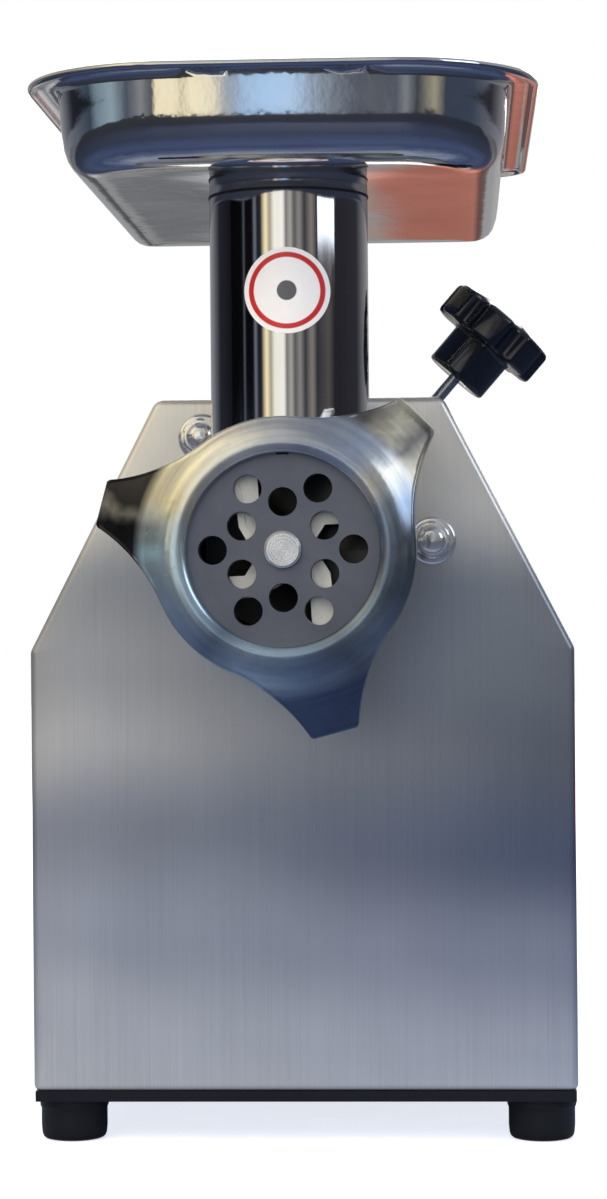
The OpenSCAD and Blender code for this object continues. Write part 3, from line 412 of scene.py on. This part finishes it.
def make_cloth():
    """Grey-blue under and beside the object, navy further off, and pale and red a long way behind."""
    cloth = finish("studio_cloth", (0.035, 0.045, 0.10), 0.9, (80.0, 80.0, 80.0), metallic=0.0,
                   relief=0.05, depth=0.3, cloud=3.0)
    tree = cloth.node_tree
    where = own_place(tree)
    drift = grain(tree, (9.0, 9.0, 9.0), 2.0, 0.5)
    part = times_plus(tree, drift, 0.25, part_way(tree, length(tree, where), 0.10, 0.95))
    tone = ramp(tree, part, [(0.0, (0.30, 0.32, 0.38)), (0.20, (0.28, 0.33, 0.44)),
                             (0.32, (0.09, 0.12, 0.22)), (0.45, (0.035, 0.055, 0.13)),
                             (0.62, (0.04, 0.065, 0.15)), (1.0, (0.02, 0.03, 0.07))])
    sides = add(tree, "SeparateXYZ", {"Vector": where})
    far = ramp(tree, part_way(tree, sides.outputs["X"], -1.0, 1.0), [
        (0.0, (0.30, 0.32, 0.36)), (0.26, (0.10, 0.11, 0.13)), (0.31, (0.75, 0.76, 0.78)),
        (0.35, (0.25, 0.26, 0.29)), (0.42, (0.62, 0.63, 0.66)), (0.47, (0.70, 0.68, 0.67)),
        (0.50, (0.80, 0.27, 0.20)), (0.60, (0.92, 0.33, 0.25)), (0.66, (0.30, 0.12, 0.10)),
        (1.0, (0.30, 0.30, 0.33))])
    behind = part_way(tree, sides.outputs["Y"], 1.0, 1.6)
    tone = blend_colours(tree, behind, tone, far)
    tree.links.new(tone, tree.nodes["Principled BSDF"].inputs["Base Color"])
    return cloth


def axis_lines(lines_per_metre):
    return lambda tree: lathe_lines(tree, (0, 0, AXIS_Z), lines_per_metre)


def moulded(name, colour, roughness, **more):
    return finish(name, colour, roughness, (700.0,) * 3, metallic=0.0, shade=0.85, relief=0.04,
                  depth=0.02, **more)


def cast(name, colour, roughness, **more):
    return finish(name, colour, roughness, (420.0,) * 3, shade=0.75, relief=0.25, depth=0.08, **more)


def ground(name, colour, roughness, **more):
    return finish(name, colour, roughness, (1200.0, 1200.0, 60.0), relief=0.12, depth=0.02, **more)


def make_finishes():
    """Materials for the record's slots, and for single nodes whose surface differs from their slot's."""
    steel = (0.62, 0.62, 0.62)
    slots = {
        "housing_steel": housing_with_painted_reflections(),
        "polished_head": finish("polished_head", (0.80, 0.81, 0.82), 0.12, (260.0, 260.0, 90.0),
                                uneven=0.05, relief=0.06, depth=0.05, cloud=45.0, shade=0.88),
        "tray_steel": finish("tray_steel", (0.82, 0.82, 0.83), 0.07, (28.0, 28.0, 20.0), uneven=0.03,
                             relief=0.35, depth=0.6, cloud=20.0, shade=0.92),
        "cutting_steel": finish("cutting_steel", (0.225, 0.24, 0.29), 0.42, (1.0,) * 3,
                                lines=axis_lines(900.0), relief=0.15, depth=0.03, cloud=70.0,
                                scratches=0.1, shade=0.8, metallic=0.85),
        "worm_cast": cast("worm_cast", (0.62, 0.61, 0.58), 0.34),
        "label": label_paper(),
        "knob_plastic": moulded("knob_plastic", (0.004, 0.005, 0.009), 0.16, Coat_Weight=0.3),
        "bright_fastener": ground("bright_fastener", (0.95, 0.94, 0.92), 0.13, metallic=0.85),
        "plain_fastener": ground("plain_fastener", (0.55, 0.55, 0.56), 0.28),
        "brass": ground("brass", (0.72, 0.52, 0.22), 0.25),
        "bronze": ground("bronze", (0.60, 0.40, 0.20), 0.32),
        "base_paint": moulded("base_paint", (0.008, 0.009, 0.014), 0.38, Specular_IOR_Level=0.3),
        "foot_rubber": moulded("foot_rubber", (0.008, 0.009, 0.014), 0.45,
                               Specular_IOR_Level=0.3),
        "cast_aluminium": cast("cast_aluminium", (0.66, 0.67, 0.68), 0.42),
        "gasket": moulded("gasket", (0.02, 0.018, 0.018), 0.6),
        "gear_steel": ground("gear_steel", steel, 0.25),
        "bearing_steel": ground("bearing_steel", (0.72, 0.72, 0.74), 0.12),
        "motor_casting": cast("motor_casting", (0.16, 0.19, 0.23), 0.5),
        "lamination": finish("lamination", (0.34, 0.35, 0.38), 0.4, (60.0, 2400.0, 60.0), relief=0.4),
        "copper": finish("copper", (0.62, 0.26, 0.12), 0.3, (300.0, 900.0, 900.0), relief=0.6,
                         depth=0.2),
        "fan_plastic": moulded("fan_plastic", (0.05, 0.05, 0.055), 0.4),
        "cradle_paint": moulded("cradle_paint", (0.20, 0.21, 0.22), 0.45),
        "capacitor_can": ground("capacitor_can", (0.70, 0.71, 0.73), 0.3),
        "clamp_strip": ground("clamp_strip", steel, 0.35),
        "terminal_plastic": moulded("terminal_plastic", (0.62, 0.58, 0.48), 0.45),
        "switch_plastic": moulded("switch_plastic", (0.018, 0.018, 0.02), 0.32),
        "green_button": moulded("green_button", (0.02, 0.24, 0.06), 0.25),
        "red_button": moulded("red_button", (0.52, 0.02, 0.02), 0.25),
    }
    singles = {
        "ring_nut": ring_with_painted_reflections(),
        "throat_tube": finish("polished_tube", (0.86, 0.86, 0.86), 0.06, (700.0, 700.0, 9.0),
                              uneven=0.03, relief=0.12, depth=0.03, cloud=18.0, shade=0.92),
        "screw_stud": finish("turned_stud", (0.98, 0.98, 0.97), 0.26, (1.0,) * 3, metallic=0.85,
                             lines=axis_lines(1500.0), relief=1.0, depth=0.12, shade=0.95),
        "knife": cast("knife_cast", (0.95, 0.93, 0.86), 0.34, metallic=0.4),
        # The worm is painted dark: painted shade, standing in for the shadow it sits in behind the plate
        "feed_screw": cast("worm_painted_shade", (0.16, 0.155, 0.15), 0.45),
    }
    return slots, singles


# ------------------------------------------------------------------ shapes

def finish_for(nodes, slot):
    """A node's own finish, or else its slot's."""
    own = [SINGLES[node] for node in nodes if node in SINGLES]
    return own[0] if own else FINISHES[slot]


def build(name, slot, body, stands_for, parts):
    """One piece from lofts: each part is a list of rings, and every ring has the same number of points."""
    points, faces = [], []
    for rings, loop, caps in parts:
        start, count = len(points), len(rings[0])
        for ring in rings:
            points.extend(ring)
        pairs = list(zip(range(len(rings)), range(1, len(rings))))
        if loop:
            pairs.append((len(rings) - 1, 0))
        for a, b in pairs:
            for i in range(count):
                j = (i + 1) % count
                faces.append((start + a * count + i, start + a * count + j,
                              start + b * count + j, start + b * count + i))
        if caps:
            faces.append(tuple(start + i for i in range(count)))
            last = start + (len(rings) - 1) * count
            faces.append(tuple(last + i for i in range(count)))
    mesh = bpy.data.meshes.new(name)
    mesh.from_pydata(points, [], faces)
    work = bmesh.new()
    work.from_mesh(mesh)
    bmesh.ops.remove_doubles(work, verts=work.verts, dist=1e-6)
    bmesh.ops.recalc_face_normals(work, faces=work.faces)
    work.to_mesh(mesh)
    work.free()
    mesh.shade_smooth()
    mesh.set_sharp_from_angle(angle=math.radians(38))
    mesh.materials.append(finish_for(stands_for, slot))
    piece = bpy.data.objects.new(name, mesh)
    bpy.context.scene.collection.objects.link(piece)
    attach(piece, body)
    if stands_for:
        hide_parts(*stands_for)
    return piece


def polar_ring(place, radius_at, depth_at, count):
    """A closed ring: radius and depth are each a number or a function of the angle."""
    ring = []
    for i in range(count):
        angle = TURN * i / count
        radius = radius_at(angle) if callable(radius_at) else radius_at
        depth = depth_at(angle) if callable(depth_at) else depth_at
        ring.append(place(radius * math.cos(angle), radius * math.sin(angle), depth))
    return ring


def turned_rings(place, profile, count=96):
    return [polar_ring(place, radius, depth, count) for radius, depth in profile]


def facing(u, v, depth):
    """From the head's axis, seen from the front: right, up, and back from the ring's face."""
    return Vector((u * MM, RING_FRONT + depth * MM, AXIS_Z + v * MM))


def quarter(start, end, steps=5):
    """Points on a quarter ellipse from start to end, leaving start along its first coordinate."""
    (a0, b0), (a1, b1) = start, end
    return [(a0 + (a1 - a0) * math.sin(math.pi / 2 * i / steps),
             b0 + (b1 - b0) * (1 - math.cos(math.pi / 2 * i / steps))) for i in range(steps + 1)]


def between(stops, x):
    """Straight lines between (x, y) stops."""
    for (x0, y0), (x1, y1) in zip(stops, stops[1:]):
        if x <= x1:
            return y0 + (y1 - y0) * max(0.0, x - x0) / (x1 - x0)
    return stops[-1][1]


# ------------------------------------------------------------------ ring nut

RING_R = 45.3
LUG_R = 65.0
LUG_HALF = 8.2
LUG_ARC = 60.0
LUG_ANGLES = [math.radians(a) for a in (45, 165, 285)]
MOUTH_R = 33.0
PLATE_SEAT = 5.9


def ring_radius(angle):
    """The nut's outline: round, with three lugs that run out on hollow arcs."""
    off = min(abs((angle - lug + math.pi) % TURN - math.pi) for lug in LUG_ANGLES)
    reach = RING_R + LUG_ARC
    tip = math.atan2(LUG_HALF, LUG_R)
    corner = math.hypot(LUG_HALF, LUG_R)
    arc = tip + math.acos((reach ** 2 + corner ** 2 - LUG_ARC ** 2) / (2 * reach * corner))
    if off <= tip:
        return LUG_R / math.cos(off)
    if off >= arc:
        return RING_R
    return reach * math.cos(arc - off) - math.sqrt(LUG_ARC ** 2 - (reach * math.sin(arc - off)) ** 2)


def make_ring_nut():
    count = 432
    back = (RING_BACK - RING_FRONT) / MM
    crest_r = 36.4
    edge = 1.2
    skirt_r, thread_r, thread_from, plate_r = 43.5, 39.9, 9.8, 35.4
    # The face and the mouth: radius, and depth back from the crest
    face = [(crest_r, 0.0), (38.5, 0.18), (40.5, 0.7), (42.5, 1.6), (44.5, 2.9), (47.0, 4.7), (50.0, 6.4),
            (52.0, 7.8), (LUG_R + 2, 15.0)]
    inner = [(MOUTH_R, PLATE_SEAT), (MOUTH_R, 1.6), (MOUTH_R + 0.15, 1.15), (MOUTH_R + 0.7, 0.65),
             (34.6, 0.25), (35.4, 0.05), (crest_r, 0.0)]
    rings = turned_rings(facing, inner, count)

    def outline(t):
        return lambda a: crest_r + (ring_radius(a) - edge - crest_r) * t

    def sunk(t):
        return lambda a: between(face, outline(t)(a))

    rows = 16
    for row in range(1, rows + 1):
        rings.append(polar_ring(facing, outline(row / rows), sunk(row / rows), count))
    for out, down in quarter((0, 0), (1, 1), 4)[1:]:
        rings.append(polar_ring(facing, lambda a, o=out: ring_radius(a) - edge * (1 - o),
                                lambda a, d=down: sunk(1.0)(a) + edge * d, count))
    for depth in (back - 3, back - 1):
        rings.append(polar_ring(facing, ring_radius, depth, count))
    rings.append(polar_ring(facing, lambda a: ring_radius(a) - 0.9, back - 0.1, count))
    rings += turned_rings(facing, [(skirt_r, back), (thread_r, back), (thread_r, thread_from),
                                   (plate_r, thread_from), (plate_r, PLATE_SEAT)], count)
    build("ring_nut_casting", "polished_head", "ring", ["ring_nut"], [(rings, True, False)])


# ------------------------------------------------------------------ tray

TRAY_RADII = (52.0, 52.0, 16.0, 16.0)
TRAY_FLANGE = 10
TRAY_SWELL = 2.2


def rounded_box(low, high, radii, steps, along):
    """An outline through the four corners of a box, front corners first, as a list of (x, y)."""
    centres = [(low[0], low[1]), (high[0], low[1]), (high[0], high[1]), (low[0], high[1])]
    turns = [180, 270, 0, 90]
    points = []
    for (x, y), radius, start in zip(centres, radii, turns):
        cx = x + radius if x == low[0] else x - radius
        cy = y + radius if y == low[1] else y - radius
        for i in range(steps + 1):
            angle = math.radians(start + 90 * i / steps)
            points.append((cx + radius * math.cos(angle), cy + radius * math.sin(angle)))
    filled = []
    for i, (x, y) in enumerate(points):
        filled.append((x, y))
        if i % (steps + 1) == steps:
            nx, ny = points[(i + 1) % len(points)]
            filled += [(x + (nx - x) * k / along, y + (ny - y) * k / along) for k in range(1, along)]
    return filled


def tray_ring(inset, height):
    """One level of the tray. The front wall inside the flange swells a little between its corners."""
    low = (TRAY_LOW.x / MM + inset, TRAY_LOW.y / MM + inset)
    high = (TRAY_HIGH.x / MM - inset, TRAY_HIGH.y / MM - inset)
    radii = [max(r - inset, 3.0) for r in TRAY_RADII]
    swell = TRAY_SWELL if inset > TRAY_FLANGE else 0.0
    half = high[0] - radii[0]
    outline = rounded_box(low, high, radii, steps=18, along=14)
    return [Vector((x, y - swell * max(0.0, 1 - (x / half) ** 2) * (y < low[1] + 1), height)) * MM
            for x, y in outline]


def to_circle(ring, radius, share, height):
    """The ring drawn in towards a circle round the throat, by a share of the way."""
    drawn = []
    for point in ring:
        off = Vector((point.x, point.y - THROAT_Y))
        goal = off.normalized() * radius * MM
        at = off.lerp(goal, share)
        drawn.append(Vector((at.x, at.y + THROAT_Y, height * MM)))
    return drawn


def make_tray():
    rim, floor = TRAY_HIGH.z / MM, TRAY_LOW.z / MM
    sheet, drain_r = 1, 23.0
    # Inset from the rim's edge, and height: down the outside, and up the inside
    outside = [(0.0, rim - 0.9), (0.0, rim - 1.7), (0.5, rim - 2.4), (1.3, rim - 2.6), (2.2, rim - 2.3),
               (2.7, rim - 1.6), (3.4, rim - 1.1), (8.2, rim - 1.1), (9.4, rim - 1.5), (10.2, rim - 2.5),
               (10.5, rim - 4.5), (11.0, rim - 10), (11.6, floor + 15), (12.4, floor + 10),
               (13.8, floor + 5.9), (15.4, floor + 3.5), (17.6, floor + 1.7), (20.4, floor + 0.5),
               (24.0, floor)]
    inside = [(25.0, floor + sheet), (21.2, floor + 1.5), (18.6, floor + 2.6), (16.4, floor + 4.4),
              (14.8, floor + 6.9), (13.4, floor + 11), (12.6, floor + 16), (12.0, rim - 10),
              (11.5, rim - 4.2), (11.2, rim - 2.2), (10.4, rim - 0.8), (9.0, rim - 0.1), (6.0, rim),
              (1.2, rim), (0.4, rim - 0.25)]
    rings = [tray_ring(*row) for row in outside]
    # The bottom is drawn up a little between its edge and the throat: share of the way, and rise
    drawn_up = [(0.12, 0.25), (0.3, 0.5), (0.5, 0.55), (0.7, 0.3), (0.85, 0.05), (1.0, 0.0)]
    rings += [to_circle(rings[-1], drain_r, share, floor + rise) for share, rise in drawn_up]
    well = tray_ring(*inside[0])
    rings += [to_circle(well, drain_r, share, floor + sheet + rise) for share, rise in reversed(drawn_up)]
    rings += [tray_ring(*row) for row in inside]
    build("tray_pan", "tray_steel", "tray", ["feed_tray"], [(rings, True, False)])


# ------------------------------------------------------------------ front panel

def housing_outline(inset):
    """The housing seen from the front: a box with two slanting shoulders and rounded corners."""
    low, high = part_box("front_panel")
    half, bottom, top = high.x / MM, low.z / MM, high.z / MM
    shoulder, top_half = 186.0, 54.0
    corners = [(-half, bottom), (half, bottom), (half, shoulder), (top_half, top), (-top_half, top),
               (-half, shoulder)]
    radii = [2.5, 2.5, 5, 5, 5, 5]
    least_radius = 0.6
    steps, along = 8, 12
    moved = []
    for i, corner in enumerate(corners):
        before, here, after = Vector(corners[i - 1]), Vector(corner), Vector(corners[(i + 1) % 6])
        n1 = (here - before).orthogonal().normalized()
        n2 = (after - here).orthogonal().normalized()
        moved.append(here + inset * (n1 + n2) / (1 + n1.dot(n2)))
    arcs = []
    for i, here in enumerate(moved):
        u, v = (moved[i - 1] - here).normalized(), (moved[(i + 1) % 6] - here).normalized()
        half_angle = math.acos(u.dot(v)) / 2
        radius = max(radii[i] - inset, least_radius)
        centre = here + (u + v).normalized() * radius / math.sin(half_angle)
        start = here + u * radius / math.tan(half_angle) - centre
        sweep = math.pi - 2 * half_angle
        arcs.append([centre + Matrix.Rotation(sweep * k / steps, 2) @ start for k in range(steps + 1)])
    filled = []
    for i, arc in enumerate(arcs):
        filled += arc
        goal = arcs[(i + 1) % 6][0]
        filled += [arc[-1].lerp(goal, k / along) for k in range(1, along)]
    return filled


def make_front_panel():
    neck_r = 27.5
    sheet, fold, edge = 1.2, 12.0, 0.15
    bend, bend_behind = 2.6, 3.2
    axis = AXIS_Z / MM

    def ring(inset, depth):
        """The housing's outline, drawn in and set back."""
        return [Vector((p.x * MM, PANEL_Y + depth * MM, p.y * MM)) for p in housing_outline(inset)]

    def drawn(inset, share, depth):
        """The same, drawn in towards the hole for the head's neck by a share of the way."""
        result = []
        for p in housing_outline(inset):
            off = Vector((p.x, p.y - axis))
            at = off.lerp(off.normalized() * neck_r, share)
            result.append(Vector((at.x * MM, PANEL_Y + depth * MM, (at.y + axis) * MM)))
        return result

    rings = [drawn(bend, share, 0) for share in (1.0, 0.9, 0.7, 0.45, 0.2)]
    rings += [ring(bend - out, down) for out, down in quarter((0, 0), (bend, bend), 6)]
    rings += [ring(0, depth) for depth in (fold / 2, fold - edge)]
    rings += [ring(edge, fold), ring(sheet, fold), ring(sheet, bend_behind), ring(bend_behind, sheet)]
    rings += [drawn(bend_behind, share, sheet) for share in (0.3, 0.7, 1.0)]
    build("front_panel_sheet", "housing_steel", "root", ["front_panel"], [(rings, True, False)])


# ------------------------------------------------------------------ knob, nuts and feet

def make_knob():
    rise_degrees = 49
    tilt = math.radians(90 - rise_degrees)
    along = Vector((math.sin(tilt), 0, math.cos(tilt)))
    across = Vector((math.cos(tilt), 0, -math.sin(tilt)))
    start = Vector((0, KNOB_Y, AXIS_Z))

    def place(u, v, depth):
        return start + (along * depth + across * u + Vector((0, v, 0))) * MM

    lobes, phase = 7, math.radians(87)
    rim, cut_r, cut_at = 22.0, 4.2, 23.0

    def sharp(angle):
        """The scalloped outline: a round rim with round cuts between the lobes."""
        off = abs((angle - phase + math.pi / lobes) % (TURN / lobes) - math.pi / lobes)
        inside = cut_r ** 2 - (cut_at * math.sin(off)) ** 2
        return min(rim, cut_at * math.cos(off) - math.sqrt(inside)) if inside > 0 else rim

    def lobed(angle):
        """The same, its corners eased."""
        nearby = [sharp(angle + math.radians(step)) for step in (-3, -2, -1, 0, 1, 2, 3)]
        return min(sum(nearby) / len(nearby), rim)

    disc_from, disc_to, dome = 105.4, 118.4, 3.5
    edge, lift = 1.4, 0.15
    hub_from, hub_r, bore_r = 89.2, 12.5, 2.3
    count = 336
    # The disc's edge: inset, and distance along the clamp's axis
    disc = [polar_ring(place, hub_r - 4, disc_from, count)]
    for inset, height in [(edge, disc_from), (0.5, disc_from + 0.35), (0.1, disc_from + 1.1),
                          (0.0, disc_from + 2.0), (0.0, disc_to - 2.2), (0.15, disc_to - 1.2),
                          (0.6, disc_to - 0.4), (edge, disc_to + lift)]:
        disc.append(polar_ring(place, lambda a, d=inset: lobed(a) - d, height, count))
    inner, fading = rim - edge, 0.6
    # The dome, its lobes fading towards the middle
    for share in (0.9, 0.75, 0.55, 0.35, 0.18, 0.06, 0.005):
        def radius(a, s=share):
            lobe = (lobed(a) - edge) * s
            return lobe + (inner * s - lobe) * (1 - s) * fading
        disc.append(polar_ring(place, radius, disc_to + dome - (dome - lift) * share ** 2, count))
    hub = turned_rings(place, [(bore_r, hub_from + 0.2), (hub_r - 1.6, hub_from),
                               (hub_r - 0.6, hub_from + 0.3), (hub_r - 0.1, hub_from + 1.0),
                               (hub_r, hub_from + 2.2), (hub_r, disc_from - 1.4),
                               (hub_r + 0.4, disc_from - 0.4), (hub_r + 0.8, disc_from + 0.05),
                               (bore_r, disc_from + 0.05)])
    build("knob_moulding", "knob_plastic", "clamp", ["clamp_knob"], [(disc, False, True),
                                                                  (hub, True, False)])


def make_cap_nuts():
    studs = [(-36.5, 44.5), (49.7, 5.0), (-28.0, -30.0)]
    seat, height, flats, bore_r = -1.6, 6.5, 6.5, 4.2
    cap_r, cap_rise, bulge, rows = 5.4, 3.6, 0.6, 10
    count = 96
    # The hexagon, its corners cut back at both ends: largest radius, and height
    levels = [(6.9, 0.0), (7.4, 0.5), (7.4, 5.0), (7.0, 5.9), (6.55, 6.3)]
    # Dished washers: radius and height over their top
    washer = [(4.3, seat), (8.8, seat), (9.0, seat + 0.2), (9.0, seat + 0.7), (8.7, -0.5), (8.1, -0.2),
              (7.2, -0.05), (4.3, -0.05)]

    def hexagon(largest):
        return lambda a: min(flats / math.cos((a + math.pi / 6) % (math.pi / 3) - math.pi / 6), largest)

    parts, washers = [], []
    for x, z in studs:
        def place(u, v, depth, x=x, z=z):
            return Vector(((x + u) * MM, PANEL_Y + (seat - depth) * MM, AXIS_Z + (z + v) * MM))

        rings = [polar_ring(place, bore_r, 0.0, count)]
        rings += [polar_ring(place, hexagon(largest), level, count) for largest, level in levels]
        rings.append(polar_ring(place, cap_r + 0.4, height, count))
        for row in range(rows):
            angle = math.pi / 2 * row / rows
            rings.append(polar_ring(place, cap_r * math.cos(angle) ** bulge,
                                    height + cap_rise * math.sin(angle), count))
        rings.append(polar_ring(place, 0.05, height + cap_rise, count))
        parts.append((rings, False, True))
        washers.append((turned_rings(place, washer), True, False))
    build("cap_nuts", "bright_fastener", "root", ["socket_nuts"], parts)
    build("nut_washers", "bright_fastener", "root", ["socket_washers"], washers)


def make_throat_painted_shadow_line():
    """A dark ring at the seam between the throat and the tray's collar: painted shade along the joint,
    standing in for the shadow line there.
    """
    def place(u, v, depth):
        return Vector((u * MM, THROAT_Y + v * MM, depth * MM))

    top = THROAT_HIGH.z / MM
    out = THROAT_R / MM
    profile = [(out + 0.05, top - 0.6), (out + 0.25, top - 0.55), (out + 0.35, top - 0.1),
               (out + 0.25, top + 0.35), (out + 0.05, top + 0.4)]
    build("throat_painted_shadow_line", "gasket", "tray", [], [(turned_rings(place, profile), True, False)])


def make_feet():
    recess_r, recess_up, screw_r = 6.0, 7.0, 2.7
    for side in ("front_left", "front_right", "rear_left", "rear_right"):
        node = "foot_" + side
        low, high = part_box(node)
        middle = (low + high) / 2
        top_r = (high.x - low.x) / 2 / MM
        tall = (high.z - low.z) / MM

        def place(u, v, depth):
            return Vector((middle.x + u * MM, middle.y + v * MM, low.z + depth * MM))

        profile = [(recess_r, 0.0), (top_r - 3.0, 0.0), (top_r - 2.0, 0.25), (top_r - 1.2, 0.9),
                   (top_r - 0.8, 2.0), (top_r - 0.5, 5.0), (top_r - 0.5, tall - 4.6),
                   (top_r - 0.35, tall - 4.0), (top_r - 0.05, tall - 3.5), (top_r, tall - 3.0),
                   (top_r, tall - 0.5), (top_r - 0.4, tall), (screw_r, tall), (screw_r, recess_up),
                   (recess_r, recess_up)]
        build(node + "_rubber", "foot_rubber", "root", [node],
              [(turned_rings(place, profile, 72), True, False)])


# ------------------------------------------------------------------ everything

def dress_nodes():
    """Every CAD node's own material, in its one slot."""
    for entry in frame["record"]["subparts"]:
        mesh = frame["nodes"][entry["node"]].data
        mesh.materials.clear()
        mesh.materials.append(finish_for([entry["node"]], entry["material_slot"]))


make_camera()
make_studio()
FINISHES, SINGLES = make_finishes()
dress_nodes()
make_front_panel()
make_ring_nut()
make_tray()
make_knob()
make_cap_nuts()
make_throat_painted_shadow_line()
make_feet()
